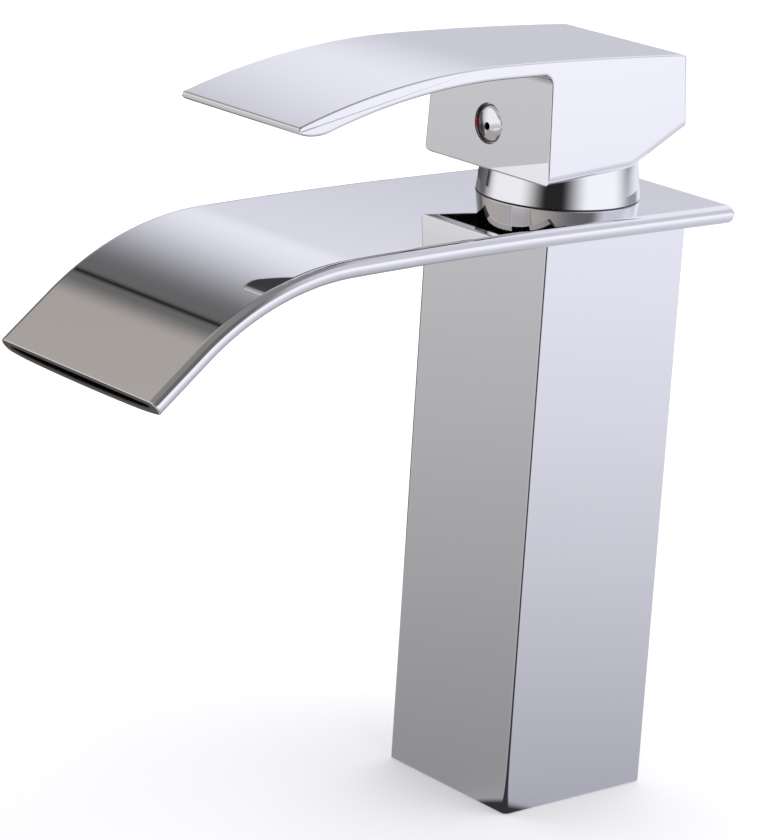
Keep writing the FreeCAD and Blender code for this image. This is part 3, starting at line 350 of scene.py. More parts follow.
# The lever, in millimetres: see the named sizes of the model's source.
LEVER_LOW, CROWN = 140.1, 166.7
LEVER_FRONT, LEVER_REAR, LEVER_TIP = -21.1, 18.08, -86.9
LEVER_HALF, LEVER_DRAFT = 20.3, 1.2
CROWN_Y, KNEE, REAR_FOOT, REAR_TOP = -33.0, (2.9, 141.8), 149.5, (17.18, 165.4)
TIP_TOP, TIP_LOW, HEEL = 158.1, 156.8, (-79.0, 156.436)
HEEL_RADIUS, BLADE_LOW, THROAT = 12.5, 163.65, 2.2
# Inside it: the hollow, the boss with the stem's square socket, and the bores of the front face.
LEVER_WALL, CEILING_LEAN, HOLLOW_ROUND = 2.5, 0.9, 1.2
BOSS_FRONT, BOSS_HALF, BOSS_LOW, BOSS_TOP, BOSS_ROUND = -9.55, 6.55, 147.5, 163.9, 0.8
SOCKET_HALF, SOCKET_LOW, SOCKET_TOP = 3.55, 146.0, 158.5
DIAL_Z = 149.9
SCREW_BORE = [(2.55, -20.0), (2.55, -2.0)]
DIAL_BORE = [(4.42, -21.5), (4.42, -21.12), (4.3, -20.98), (4.25, -20.8), (4.25, -17.0)]


def lever_half(z):
    """Half the lever's width at a level."""
    return LEVER_HALF - LEVER_DRAFT * (z - LEVER_LOW) / (CROWN - LEVER_LOW)


def flat_radius(run, drop):
    """The radius of an arc that starts level and drops this far over a run."""
    return (run ** 2 + drop ** 2) / 2 / drop


def lever_outline():
    """The lever's side view: block, arched top, tip, underside of the blade and throat."""
    crown = (CROWN_Y, CROWN)
    tip = (LEVER_TIP, TIP_TOP)
    points = [(LEVER_FRONT, LEVER_LOW), KNEE, (LEVER_REAR, REAR_FOOT), REAR_TOP]
    points += arc(REAR_TOP, crown, flat_radius(REAR_TOP[0] - CROWN_Y, CROWN - REAR_TOP[1]), 20)
    points += arc(crown, tip, flat_radius(CROWN_Y - LEVER_TIP, CROWN - TIP_TOP), 56)
    points.append((LEVER_TIP, TIP_LOW))
    points += arc((LEVER_TIP, TIP_LOW), HEEL, HEEL_RADIUS, 12)
    under = flat_radius(CROWN_Y - HEEL[0], BLADE_LOW - HEEL[1])
    points += arc(HEEL, (CROWN_Y, BLADE_LOW), under, 48, -1)
    throat = (LEVER_FRONT - THROAT, BLADE_LOW)
    points.append(throat)
    points += arc(throat, (LEVER_FRONT, BLADE_LOW - THROAT), THROAT, 10, -1)
    return points


# How round the lever's edges are: those along its sides, and those across it by their corner.
TOP_EDGE, REAR_EDGE, FRONT_EDGE, LOW_EDGE, BLADE_EDGE = 0.42, 1.2, 0.5, 2.4, 0.8
TIP_RAMP, TOP_BAND, CLOSE = 5.0, 1.0, 0.1
CROSS_EDGES = {
    (LEVER_FRONT, LEVER_LOW): 0.5,
    KNEE: 3.0,
    (LEVER_REAR, REAR_FOOT): 0.5,
    REAR_TOP: 1.4,
    (LEVER_TIP, TIP_TOP): 0.3,
    (LEVER_TIP, TIP_LOW): 0.5,
}


def lever_top(y):
    """Roughly how high the lever's top is at y."""
    if y >= CROWN_Y:
        return REAR_TOP[1] - 0.2
    return CROWN - (CROWN - TIP_TOP) * ((y - CROWN_Y) / (LEVER_TIP - CROWN_Y)) ** 2


def cross_edge(y, z):
    """How round the lever is along an edge that runs across it."""
    for corner, width in CROSS_EDGES.items():
        if abs(y - corner[0]) < CLOSE and abs(z - corner[1]) < CLOSE:
            return width
    return 0.0


def lever_edge(first, second):
    """How round the lever is along the edge between two points."""
    middle = (first + second) / 2
    y, z = middle.y, middle.z
    if abs(middle.x) < 1.0:
        return cross_edge(y, z)
    if y > LEVER_FRONT + 0.2 and z < REAR_FOOT:
        return LOW_EDGE
    if y > REAR_TOP[0] - CLOSE and z < REAR_TOP[1] - CLOSE:
        return REAR_EDGE
    if abs(y - LEVER_FRONT) < CLOSE / 2:
        return FRONT_EDGE
    if y > LEVER_FRONT - THROAT - 0.01 and z < BLADE_LOW:
        share = (LEVER_FRONT - y) / THROAT
        return FRONT_EDGE + (BLADE_EDGE - FRONT_EDGE) * min(max(share, 0.0), 1.0)
    if z > lever_top(y) - TOP_BAND or y < LEVER_TIP + CLOSE / 2:
        return TOP_EDGE
    near_tip = min(max((y - LEVER_TIP) / TIP_RAMP, 0.0), 1.0)
    return TOP_EDGE + (BLADE_EDGE - TOP_EDGE) * near_tip


def box_outline(front, rear, low, top):
    return [(front, low), (rear, low), (rear, top), (front, top)]


def make_hollow():
    """The space inside the lever's block, one wall in from its sides."""
    front, rear = LEVER_FRONT + LEVER_WALL, LEVER_REAR - LEVER_WALL
    low, ceiling = LEVER_LOW - LEVER_WALL, REAR_TOP[1] - LEVER_WALL
    outline = [(front, low), (rear, low), (rear, REAR_FOOT), (rear - CEILING_LEAN, ceiling), (front, ceiling)]
    hollow = new_piece("hollow", prism(outline, lambda z: lever_half(z) - LEVER_WALL), [shade_dark_casting])
    bevelled(
        hollow, lambda first, second: HOLLOW_ROUND if max(first.z, second.z) > REAR_FOOT + 1 else 0.0, 3)
    return hollow


def make_lever():
    """The lever: a hollow block and a thin arched blade, with the boss that takes the stem."""
    lever = new_piece("lever_casting", prism(lever_outline(), lever_half), [chrome])
    bevelled(lever, lever_edge)
    # The hollow, the boss, the socket and the screw bore pass the dark casting finish to the faces they make:
    # painted shade inside the lever.
    carve(lever, make_hollow())
    boss_outline = box_outline(BOSS_FRONT, BOSS_HALF, BOSS_LOW, BOSS_TOP)
    boss = new_piece("boss", prism(boss_outline, lambda z: BOSS_HALF), [shade_dark_casting])
    bevelled(
        boss, lambda first, second: BOSS_ROUND if min(first.z, second.z) < BOSS_TOP - 0.5 else 0.0, 3)
    carve(lever, boss, "UNION")
    socket_outline = box_outline(-SOCKET_HALF, SOCKET_HALF, SOCKET_LOW, SOCKET_TOP)
    carve(lever, new_piece("socket", prism(socket_outline, lambda z: SOCKET_HALF), [shade_dark_casting]))
    carve(lever, new_piece("screw_bore", turned_back(SCREW_BORE, DIAL_Z, 32), [shade_dark_casting]))
    # The button's hole takes the grey finish: painted shade on its walls.
    carve(lever, new_piece("dial_bore", turned_back(DIAL_BORE, DIAL_Z, 96), [painted_shade_grey]))
    settle(lever)
    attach(lever, "lever")
    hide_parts("lever_handle")


def ring_about_y(form, radius, y, z, steps):
    """A ring of points about a line along Y at the level z."""
    turns = [2 * math.pi * step / steps for step in range(steps)]
    return [form.verts.new((radius * math.cos(turn), y, z + radius * math.sin(turn))) for turn in turns]


def close_rings(form, rings, steps):
    """Skin a row of rings with four-sided faces."""
    for ring, following in zip(rings, rings[1:]):
        for step in range(steps):
            after = (step + 1) % steps
            form.faces.new((ring[step], ring[after], following[after], following[step]))


def cap_rings(form, rings):
    """Close the first and the last ring with a face each."""
    form.faces.new(rings[0])
    form.faces.new(list(reversed(rings[-1])))


def turned_back(outline, level, steps):
    """A solid turned about a line along Y at a level: its outline is pairs of radius and y."""
    form = bmesh.new()
    rings = [ring_about_y(form, radius, y, level, steps) for radius, y in outline]
    close_rings(form, rings, steps)
    cap_rings(form, rings)
    return form


# The button and the marks in the lever's front, in millimetres.
FLANGE_Y, FLANGE_RADIUS, PLUG_REAR = -20.3, 4.2, -15.1
BUTTON_RADIUS, BUTTON_TOP, BUTTON_STEP = 4.05, -21.4, 0.08
EYE_RADIUS, EYE_FLOOR, EYE_DROP, DROP_REACH = 0.78, -19.9, 0.75, 3.2
HOT_TURN, COLD_TURN, MARK_HALF_TURN, MARK_STEPS = 186.0, 0.0, 12.0, 10
MARK_SECTION = [(4.09, FLANGE_Y), (4.09, -20.85), (4.14, -20.92), (4.22, -20.92), (4.22, FLANGE_Y)]
# The button's face: pairs of radius and slope in degrees, from its eye to its rim.
BUTTON_SLOPES = [(0.0, 6), (0.9, 9), (2.0, 11), (2.8, 14), (3.3, 20), (3.7, 32), (4.05, 44)]


def slope_at(radius):
    """The slope of the button's face at a radius."""
    for (near, first), (far, second) in zip(BUTTON_SLOPES, BUTTON_SLOPES[1:]):
        if radius <= far:
            return first + (second - first) * (radius - near) / (far - near)
    return BUTTON_SLOPES[-1][1]


def button_profile():
    """The button from its eye out over its face, flange and rear, as pairs of radius and y."""
    radius, y = EYE_RADIUS + BUTTON_STEP, BUTTON_TOP
    points = [(0.0, EYE_FLOOR), (EYE_RADIUS, EYE_FLOOR), (EYE_RADIUS, BUTTON_TOP + BUTTON_STEP), (radius, y)]
    while radius < BUTTON_RADIUS - 0.001:
        ahead = min(BUTTON_STEP, BUTTON_RADIUS - radius)
        y += ahead * math.tan(math.radians(slope_at(radius + ahead / 2)))
        radius += ahead
        points.append((radius, y))
    flange = [(BUTTON_RADIUS, FLANGE_Y), (FLANGE_RADIUS, FLANGE_Y)]
    return points + flange + [(FLANGE_RADIUS, PLUG_REAR), (0.0, PLUG_REAR)]


def ring_drop(radius, y):
    """How far a ring of the button sits below the dial's middle: the eye is the lowest."""
    if y < EYE_FLOOR - 0.05:
        return EYE_DROP * max(0.0, 1 - radius / DROP_REACH)
    return EYE_DROP if radius <= EYE_RADIUS else 0.0


def make_plug():
    """Indicator button: a low dome with an eye and a steep shoulder, on a flange in the hole."""
    form = bmesh.new()
    steps = 128
    rings = [
        ring_about_y(form, radius, y, DIAL_Z - ring_drop(radius, y), steps)
        for radius, y in button_profile()]
    close_rings(form, rings, steps)
    bmesh.ops.remove_doubles(form, verts=form.verts, dist=0.0001)
    plug = new_piece("indicator_button", form, [chrome, shade_dark_casting])
    # The eye's faces take the dark casting finish: painted shade in the eye.
    for face in plug.data.polygons:
        middle = face.center / MM
        from_eye = math.hypot(middle.x, middle.z - DIAL_Z + EYE_DROP)
        if from_eye < EYE_RADIUS + 0.02 and middle.y > BUTTON_TOP + 0.1:
            face.material_index = 1
    settle(plug)
    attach(plug, "lever")
    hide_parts("indicator_plug")


def make_mark(node, slot, middle):
    """Coloured lining on one side of the button's hole, from the flange almost to the face."""
    form = bmesh.new()
    corners = []
    for radius, y in MARK_SECTION:
        row = []
        for step in range(MARK_STEPS + 1):
            angle = math.radians(middle - MARK_HALF_TURN + 2 * MARK_HALF_TURN * step / MARK_STEPS)
            row.append(form.verts.new((radius * math.cos(angle), y, DIAL_Z + radius * math.sin(angle))))
        corners.append(row)
    for row, following in zip(corners, corners[1:] + corners[:1]):
        for step in range(MARK_STEPS):
            form.faces.new((row[step], row[step + 1], following[step + 1], following[step]))
    form.faces.new([row[0] for row in corners])
    form.faces.new([row[-1] for row in reversed(corners)])
    mark = new_piece(node + "_lining", form, [FINISHES[slot]])
    settle(mark)
    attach(mark, "lever")
    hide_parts(node)


# The spout, in millimetres.
SPOUT_TOP, THICK, WALL = 133.1, 3.9, 1.0
HALF_FLAT, INNER_FLAT = 24.95, 23.4
SPOUT_REAR, PASSAGE_REAR, REAR_ROUND = 27.6, 20.0, 0.9
LEVEL_END, ARCH_RADIUS, ARCH_LENGTH = -20.2, 1500.0, 56.0
BEND_RADIUS, BEND_ANGLE, LIP_LENGTH, LIP_BOW = 62.5, 39.0, 14.6, 0.7
OUTER_RIM, INNER_RIM = 0.25, 0.25
LIP_WALL, LIP_SWELL, LIP_SWELL_RUN = 1.5, 0.5, 9.0
BOW_RUN_IN, BOW_POWER, SWELL_POWER, SIDE_MARGIN = 2.0, 2, 8, 0.06
ROUND_STEPS, BELLY_STEPS, REAR_STEPS, RIM_STEPS = 18, 28, 6, 5
NECK_HOLE = [(15.3, 128.0), (15.3, 134.5)]


def spout_place(distance):
    """A point of the spout's top line and its slope, at a distance ahead of the level part's end."""
    arch = ARCH_LENGTH / ARCH_RADIUS
    bend_length = BEND_RADIUS * (math.radians(BEND_ANGLE) - arch)
    if distance <= 0:
        return LEVEL_END - distance, SPOUT_TOP, 0.0
    turn = min(distance, ARCH_LENGTH) / ARCH_RADIUS
    y = LEVEL_END - ARCH_RADIUS * math.sin(turn)
    z = SPOUT_TOP - ARCH_RADIUS * (1 - math.cos(turn))
    if distance <= ARCH_LENGTH:
        return y, z, turn
    ahead = min(distance - ARCH_LENGTH, bend_length)
    slope = arch + ahead / BEND_RADIUS
    y -= BEND_RADIUS * (math.sin(slope) - math.sin(arch))
    z -= BEND_RADIUS * (math.cos(arch) - math.cos(slope))
    rest = max(distance - ARCH_LENGTH - bend_length, 0.0)
    return y - rest * math.cos(slope), z - rest * math.sin(slope), slope


LIP_START = ARCH_LENGTH + BEND_RADIUS * (math.radians(BEND_ANGLE) - ARCH_LENGTH / ARCH_RADIUS)
TIP_AT = LIP_START + LIP_LENGTH


def spout_section(depth, flat, bow, swell=0.0):
    """Flat section with half-round sides, as pairs of x and distance below the spout's top.

    Depth is how far the section lies in from the skin."""
    radius = THICK / 2 - depth
    middle = THICK / 2
    points = [(-flat, depth), (-flat + SIDE_MARGIN, depth), (flat - SIDE_MARGIN, depth), (flat, depth)]
    for step in range(1, ROUND_STEPS):
        angle = math.pi * step / ROUND_STEPS
        points.append((flat + radius * math.sin(angle), middle - radius * math.cos(angle)))
    for step in range(BELLY_STEPS + 1):
        x = flat - 2 * flat * step / BELLY_STEPS
        share = x / flat
        fuller = bow * (1 - share ** BOW_POWER) + swell * (1 - share ** SWELL_POWER)
        points.append((x, THICK - depth + fuller))
    for step in range(1, ROUND_STEPS):
        angle = math.pi * step / ROUND_STEPS
        points.append((-flat - radius * math.sin(angle), middle + radius * math.cos(angle)))
    return points


def eased(place, start, run):
    """0 up to start and 1 from a run past it, with a smooth change between."""
    share = min(max((place - start) / run, 0.0), 1.0)
    return share * share * (3 - 2 * share)


def lip_share(distance):
    """0 away from the mouth and 1 at it."""
    return eased(distance, TIP_AT - LIP_SWELL_RUN, LIP_SWELL_RUN)


def lip_bow_at(distance):
    """How far the underside bows down at a distance along the spout."""
    return LIP_BOW * eased(distance, LIP_START - BOW_RUN_IN, LIP_LENGTH + BOW_RUN_IN)


def spout_ring(form, distance, depth, flat, back=0.0):
    """A ring of the section at a distance along the spout, moved back along it by a little."""
    y, z, slope = spout_place(distance)
    cos, sin = math.cos(slope), math.sin(slope)
    y, z = y + back * cos, z + back * sin
    return [
        form.verts.new((x, y + down * sin, z - down * cos))
        for x, down in spout_section(depth, flat, lip_bow_at(distance), LIP_SWELL * lip_share(distance))]


def spaced(start, end, step):
    """Even steps from start up to but without end."""
    count = max(1, round(abs(end - start) / step))
    return [start + (end - start) * index / count for index in range(count)]


def spout_stations(rear):
    """Distances along the spout from its rear end to its tip, closer in the bend."""
    beside_joins = [0.3, ARCH_LENGTH - 0.3, LIP_START - 0.3]
    level, arched = spaced(rear, 0.0, 8.0), spaced(0.0, ARCH_LENGTH, 1.5)
    bent, lip = spaced(ARCH_LENGTH, LIP_START, 0.5), spaced(LIP_START, TIP_AT - OUTER_RIM, 0.5)
    return sorted(level + arched + bent + lip + beside_joins)


def rim_back(depth):
    """How far the lip's end stands back at a depth in its wall, for its rounded edges."""
    for rim, inside in ((OUTER_RIM, depth), (INNER_RIM, LIP_WALL - depth)):
        if inside < rim:
            return rim - math.sqrt(rim ** 2 - (rim - inside) ** 2)
    return 0.0


def make_spout():
    """The flat hollow spout: skin, rounded rear, open lip and the water passage."""
    form = bmesh.new()
    steps = len(spout_section(0.0, HALF_FLAT, 0.0))
    rear = LEVEL_END - SPOUT_REAR
    rings = []
    for step in range(REAR_STEPS + 1):
        angle = math.pi / 2 * step / REAR_STEPS
        depth = REAR_ROUND * (1 - math.sin(angle))
        rings.append(spout_ring(form, rear + REAR_ROUND * (1 - math.cos(angle)), depth, HALF_FLAT))
    skin_start = rear + REAR_ROUND
    stations = [place for place in spout_stations(skin_start) if place > skin_start + 0.01]
    rings += [spout_ring(form, place, 0.0, HALF_FLAT) for place in stations]
    shares = [1 - math.cos(math.pi / 2 * step / RIM_STEPS) for step in range(RIM_STEPS + 1)]
    depths = [OUTER_RIM * share for share in shares]
    depths += [LIP_WALL - INNER_RIM * share for share in reversed(shares)]
    first_rim = len(rings)
    for depth in depths:
        flat = HALF_FLAT + (INNER_FLAT - HALF_FLAT) * depth / LIP_WALL
        rings.append(spout_ring(form, TIP_AT, depth, flat, rim_back(depth)))
    first_inner = len(rings)
    passage_end = LEVEL_END - PASSAGE_REAR
    inner = [place for place in spout_stations(passage_end) if place < TIP_AT - OUTER_RIM - INNER_RIM]
    for place in reversed(inner):
        rings.append(spout_ring(form, place, WALL + (LIP_WALL - WALL) * lip_share(place), INNER_FLAT))
    close_rings(form, rings, steps)
    # Faces inside the passage take the grey painted shade; those over the lip's end take the dark painted
    # reflection.
    for index, face in enumerate(form.faces):
        ring = index // steps
        if ring >= first_inner - 1:
            face.material_index = 1
        elif ring >= first_rim + RIM_STEPS - 1:
            face.material_index = 2
    cap_rings(form, rings)
    form.faces.ensure_lookup_table()
    form.faces[-1].material_index = 1
    spout = new_piece("spout_tube", form, [chrome, passage_shade_grey, lip_painted_reflection])
    carve(spout, new_piece("neck_hole", turned(NECK_HOLE, 128), [passage_shade_grey]))
    settle(spout)
    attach(spout, "body")
    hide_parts("waterfall_spout")


def turned(outline, steps, closed=False):
    """A solid turned about the upright axis: its outline is pairs of radius and level."""
    form = bmesh.new()
    turns = [2 * math.pi * step / steps for step in range(steps)]
    rings = [
        [form.verts.new((radius * math.cos(turn), radius * math.sin(turn), z)) for turn in turns]
        for radius, z in outline]
    if closed:
        close_rings(form, rings + rings[:1], steps)
    else:
        close_rings(form, rings, steps)
        cap_rings(form, rings)
    return form


# The bonnet, in millimetres.
BONNET_FOOT, BONNET_TOP, BONNET_LEAN = 17.8, 143.1, 7.0
SHOULDER_ROUND, SHOULDER_IN, SHOULDER_STEPS = 0.6, 0.55, 5
FOOT_CHAMFER = [(0.25, 0.0), (0.2, 0.08), (0.06, 0.22)]
# Faces up to this height over the bonnet's foot take the grey finish as painted shade.
CHAMFER_HIGH = 0.2
BONNET_SEAT, BONNET_BORE, SEAT_TOP = 16.15, 15.05, 134.15
MOUTH, MOUTH_EDGE, CROWN_UNDER = 9.5, 0.2, 141.7


def make_bonnet():
    """Tapered sleeve with a fine chamfer at its foot and a soft shoulder, bored for the neck."""
    low, top = SPOUT_TOP, BONNET_TOP
    lean = math.tan(math.radians(BONNET_LEAN))
    shoulder = BONNET_FOOT - (top - low) * lean
    outline = [(BONNET_SEAT, low)]
    outline += [(BONNET_FOOT - back, low + rise) for back, rise in FOOT_CHAMFER]
    outline += [(BONNET_FOOT - rise * lean, low + rise) for rise in (0.5, 3.0, 6.0, 8.9)]
    for step in range(1, SHOULDER_STEPS + 1):
        angle = math.radians(BONNET_LEAN + (90 - BONNET_LEAN) * step / SHOULDER_STEPS)
        outline.append((
            shoulder - SHOULDER_IN + SHOULDER_ROUND * math.cos(angle),
            top - SHOULDER_ROUND + SHOULDER_ROUND * math.sin(angle)))
    outline += [
        (MOUTH + MOUTH_EDGE, top), (MOUTH, top - MOUTH_EDGE), (MOUTH, CROWN_UNDER),
        (BONNET_BORE, CROWN_UNDER), (BONNET_BORE, SEAT_TOP), (BONNET_SEAT, SEAT_TOP)]
    bonnet = new_piece("bonnet_sleeve", turned(outline, 256, closed=True), [chrome, painted_shade_grey])
    # The foot chamfer takes the grey finish: a painted shade line where the bonnet meets the spout.
    for face in bonnet.data.polygons:
        if face.center.z / MM < low + CHAMFER_HIGH:
            face.material_index = 1
    settle(bonnet)
    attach(bonnet, "body")
    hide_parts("bonnet")


# The column, in millimetres.
COLUMN_HALF, COLUMN_BORE, COLUMN_TOP = 20.0, 17.0, 129.2
COLUMN_EDGE, BORE_EDGE, COLUMN_CHAMFER = 1.1, 0.5, 0.2


def rounded_square(half, radius, steps=10):
    """A square with round corners, as points in X and Y."""
    points = []
    inset = half - radius
    for corner, (side, front) in enumerate(((1, 1), (-1, 1), (-1, -1), (1, -1))):
        for step in range(steps + 1):
            angle = math.pi / 2 * (corner + step / steps)
            points.append((side * inset + radius * math.cos(angle), front * inset + radius * math.sin(angle)))
    return points


def make_column():
    """Square tube with softly rounded upright edges, and a fine chamfer at its foot."""
    form = bmesh.new()
    section = [
        (COLUMN_BORE, BORE_EDGE, 0.0),
        (COLUMN_HALF - COLUMN_CHAMFER, COLUMN_EDGE, 0.0),
        (COLUMN_HALF, COLUMN_EDGE, COLUMN_CHAMFER),
        (COLUMN_HALF, COLUMN_EDGE, COLUMN_TOP),
        (COLUMN_BORE, BORE_EDGE, COLUMN_TOP),
    ]
    rings = [
        [form.verts.new((x, y, z)) for x, y in rounded_square(half, radius)]
        for half, radius, z in section]
    close_rings(form, rings + rings[:1], len(rings[0]))
    column = new_piece("square_column", form, [chrome])
    settle(column)
    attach(column, "body")
    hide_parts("column")


make_column()
make_lever()
make_plug()
make_mark("hot_mark", "red_mark", HOT_TURN)
make_mark("cold_mark", "blue_mark", COLD_TURN)
make_spout()
make_bonnet()

# ---------------------------------------------------------------- studio

# The studio that the mirror faces see: plain panels that stand round the object, each with the azimuths
# where it begins and ends, its tone and its tint, and a soft change from one to the next. An azimuth
# of 0 is in front of the spout, 90 is on the cold side. The horizon's panels stand low, the others
# hang above them.
COOL, PLAIN, WARM = (0.0, 0.0, 0.04), (0.0, 0.0, 0.0), (0.0, -0.025, -0.05)
HORIZON = [
    (-180, -176, 0.60, COOL),  # rear wall
    (-155, -145, 0.95, COOL),  # window
    (-137, -126, 0.80, COOL),  # paler wall
    (-112, -80, 0.47, PLAIN),  # grey wall
    (-45, -8, 0.95, PLAIN),  # front window
    (33, 53, 0.15, PLAIN),  # dark flag
    (95, 131, 0.98, COOL),  # large window
    (172, 180, 0.60, COOL),  # rear wall
]
UPPER = [
    (-180, -127, 0.93, COOL),  # large window
    (-94, -91.5, 0.40, PLAIN),  # its far end
    (-91, -89.5, 0.08, PLAIN),  # dark rail
    (-89, -88, 0.40, PLAIN),  # wall beside the rail
    (-79, 10, 0.68, WARM),  # warm grey wall
    (80, 98, 0.40, PLAIN),  # grey flag
    (125, 150, 0.80, COOL),  # paler wall
    (175, 180, 0.93, COOL),  # large window
]
CEILING = (0.52, 0.51, 0.51)
UPPER_FROM, UPPER_FULL = 10, 23
CEILING_FROM, CEILING_FULL = 46, 66
DOME_RADIUS = 20.0


def tone_ring(nodes, turn, panels):
    """Tones of the panels by azimuth; turn runs from 0 to 1 as the azimuth runs from -180 to 180."""
    ring = nodes.add("ShaderNodeValToRGB", Fac=turn)
    ring.color_ramp.interpolation = "EASE"
    stops = ring.color_ramp.elements
    ends = [(azimuth, tone, tint) for start, end, tone, tint in panels for azimuth in (start, end)]
    for index, (azimuth, tone, tint) in enumerate(ends):
        place = azimuth / 360 + 0.5
        stop = stops[index] if index < 2 else stops.new(place)
        stop.position = place
        stop.color = colour(*(min(tone + shade, 1.0) for shade in tint))
    return ring.outputs["Color"]


def azimuth_of(nodes, towards):
    """The angle round the object of a direction, in radians."""
    axes = nodes.add("ShaderNodeSeparateXYZ", Vector=towards)
    forward = nodes.math("MULTIPLY", axes.outputs["Y"], -1.0)
    return nodes.math("ARCTAN2", axes.outputs["X"], forward)


def turn_of(nodes, angle):
    """An angle as a share of the way round, from 0 at -180 degrees to 1 at 180."""
    return nodes.math("MULTIPLY_ADD", angle, 0.5 / math.pi, 0.5)


def layered(nodes, tone, layers):
    """A tone with other tones laid over it, each by its share."""
    for share, over in layers:
        tone = nodes.add("ShaderNodeMix", {"data_type": "RGBA"}, in0=share, in6=tone, in7=over).outputs[2]
    return tone


def sine(angle):
    return math.sin(math.radians(angle))


def for_mirrors_only(thing):
    """Only reflections see a studio card."""
    thing.visible_camera = False
    thing.visible_diffuse = False
    thing.visible_shadow = False


def make_dome():
    """The studio that the chrome mirrors. Only reflections see it."""
    form = bmesh.new()
    bmesh.ops.create_icosphere(form, subdivisions=5, radius=DOME_RADIUS)
    material, nodes = new_material("studio_tones")
    place = nodes.add("ShaderNodeTexCoord").outputs["Object"]
    towards = nodes.add("ShaderNodeVectorMath", {"operation": "NORMALIZE"}, in0=place).outputs[0]
    turn = turn_of(nodes, azimuth_of(nodes, towards))
    height = nodes.add("ShaderNodeSeparateXYZ", Vector=towards).outputs["Z"]
    nodes.glow(layered(nodes, tone_ring(nodes, turn, HORIZON), [
        (nodes.smooth(height, sine(UPPER_FROM), sine(UPPER_FULL)), tone_ring(nodes, turn, UPPER)),
        (nodes.smooth(height, sine(CEILING_FROM), sine(CEILING_FULL)), colour(*CEILING)),
    ]))
    for_mirrors_only(add_object("studio_dome", form, [material]))


make_dome()

WORLD_LIGHT = 0.75


def make_world():
    """White behind the object for the camera and through glass; a plain soft light for the rest.

    It is white for mirrors too, but the dome hides it from them."""
    world = bpy.data.worlds.new("studio")
    world.use_nodes = True
    bpy.context.scene.world = world
    world.node_tree.nodes.clear()
    nodes = Nodes(world.node_tree)
    plain = nodes.add("ShaderNodeBackground", Color=(1, 1, 1, 1), Strength=WORLD_LIGHT)
    white = nodes.add("ShaderNodeBackground", Color=(1, 1, 1, 1), Strength=1.0)
    seen = nodes.seen_by_eye()
    mix = nodes.add("ShaderNodeMixShader", Fac=seen, in1=plain.outputs[0], in2=white.outputs[0])
    nodes.add("ShaderNodeOutputWorld", Surface=mix.outputs[0])


make_world()

FLOOR_HALF = 6.0
FLOOR_FAR = (0.97, 0.97, 0.98)
# The floor's tone at the object's foot: painted shade.
FLOOR_PAINTED_SHADE = (0.93, 0.93, 0.94)
FLOOR_LIFT = 0.10
FLOOR_REACH = 0.75


def square_form(half, level):
    """A flat square round the axis."""
    form = bmesh.new()
    corners = ((-half, -half), (half, -half), (half, half), (-half, half))
    form.faces.new([form.verts.new((x, y, level)) for x, y in corners])
    return form


def make_floor():
    """A pale floor with painted shade round the object's foot, where it is a little greyer, that also keeps
    the object's shadow.
    """
    material, nodes = new_material("floor_paper")
    place = nodes.add("ShaderNodeTexCoord").outputs["Object"]
    distance = nodes.add("ShaderNodeVectorMath", {"operation": "LENGTH"}, in0=place).outputs["Value"]
    near_to_far = [(nodes.smooth(distance, 0.0, FLOOR_REACH), colour(*FLOOR_FAR))]
    paper = nodes.add("ShaderNodeBsdfDiffuse", Color=layered(nodes, colour(*FLOOR_PAINTED_SHADE), near_to_far))
    lift_share = nodes.math("MULTIPLY", nodes.seen_by_eye(), FLOOR_LIFT)
    lift = nodes.add("ShaderNodeEmission", Color=(1, 1, 1, 1), Strength=lift_share)
    both = nodes.add("ShaderNodeAddShader", in0=paper.outputs["BSDF"], in1=lift.outputs[0])
    nodes.add("ShaderNodeOutputMaterial", Surface=both.outputs[0])
    add_object("floor", square_form(FLOOR_HALF, 0.0), [material])


make_floor()

# The floor card lies just over the floor and only the mirrors see it: darker near the foot, as the
# object's shade would be, and paler further out. Each falloff is the tone at the foot, the tone far
# out, and the distance over which most of the change is done.
CARD_FRONT = (0.56, 0.82, 0.4)
CARD_REAR = (0.66, 0.96, 0.28)
CARD_STEPS = 8
CARD_REACH = 1.3
# The azimuth of the rear falloff, and how far to its sides it fades into the front one.
CARD_TOWARDS, CARD_CHANGE = 130.0, 0.8
CARD_LEVEL = 0.0003
# Further out than this the card takes the horizon's tones.
CARD_BLEND = (0.75, 1.9)
# A dark patch on the hot side: its azimuths from clear to full and back, its reach and its tone.
PATCH_TURN = (-134, -126, -70, -60)
PATCH_REACH = (0.13, 0.22)
PATCH_TONE = (0.24, 0.235, 0.245)
# A darker sector in front, on the cold side, that the column's near edge mirrors.
SECTOR_TURN = (24, 32, 52, 62)
SECTOR_SHARE = 0.95
SECTOR_TONE = (0.13, 0.125, 0.13)

# The low dark card stands on the hot side, between these azimuths and levels.
FLAG_FROM, FLAG_TO, FLAG_RADIUS, FLAG_HIGH = -129, -72, 0.62, 0.215
FLAG_STEPS = 24
FLAG_TONES = [(0.0, 0.44), (0.12, 0.30), (0.5, 0.32), (1.0, 0.44)]


def tone_row(nodes, place, rows, reach=1.0, tint=(0.0, 0.0, 0.0)):
    """Grey tones by place, from pairs of place and tone."""
    row = nodes.add("ShaderNodeValToRGB", Fac=place)
    stops = row.color_ramp.elements
    for index, (position, tone) in enumerate(rows):
        stop = stops[index] if index < 2 else stops.new(position / reach)
        stop.position = position / reach
        stop.color = colour(*(min(tone + shade, 1.0) for shade in tint))
    return row.outputs["Color"]


def falloff(near, far, run):
    """Rows of distance and tone for a card that grows paler away from the foot."""
    places = [CARD_REACH * (step / CARD_STEPS) ** 2 for step in range(CARD_STEPS + 1)]
    return [(place, far - (far - near) * math.exp(-place / run)) for place in places]


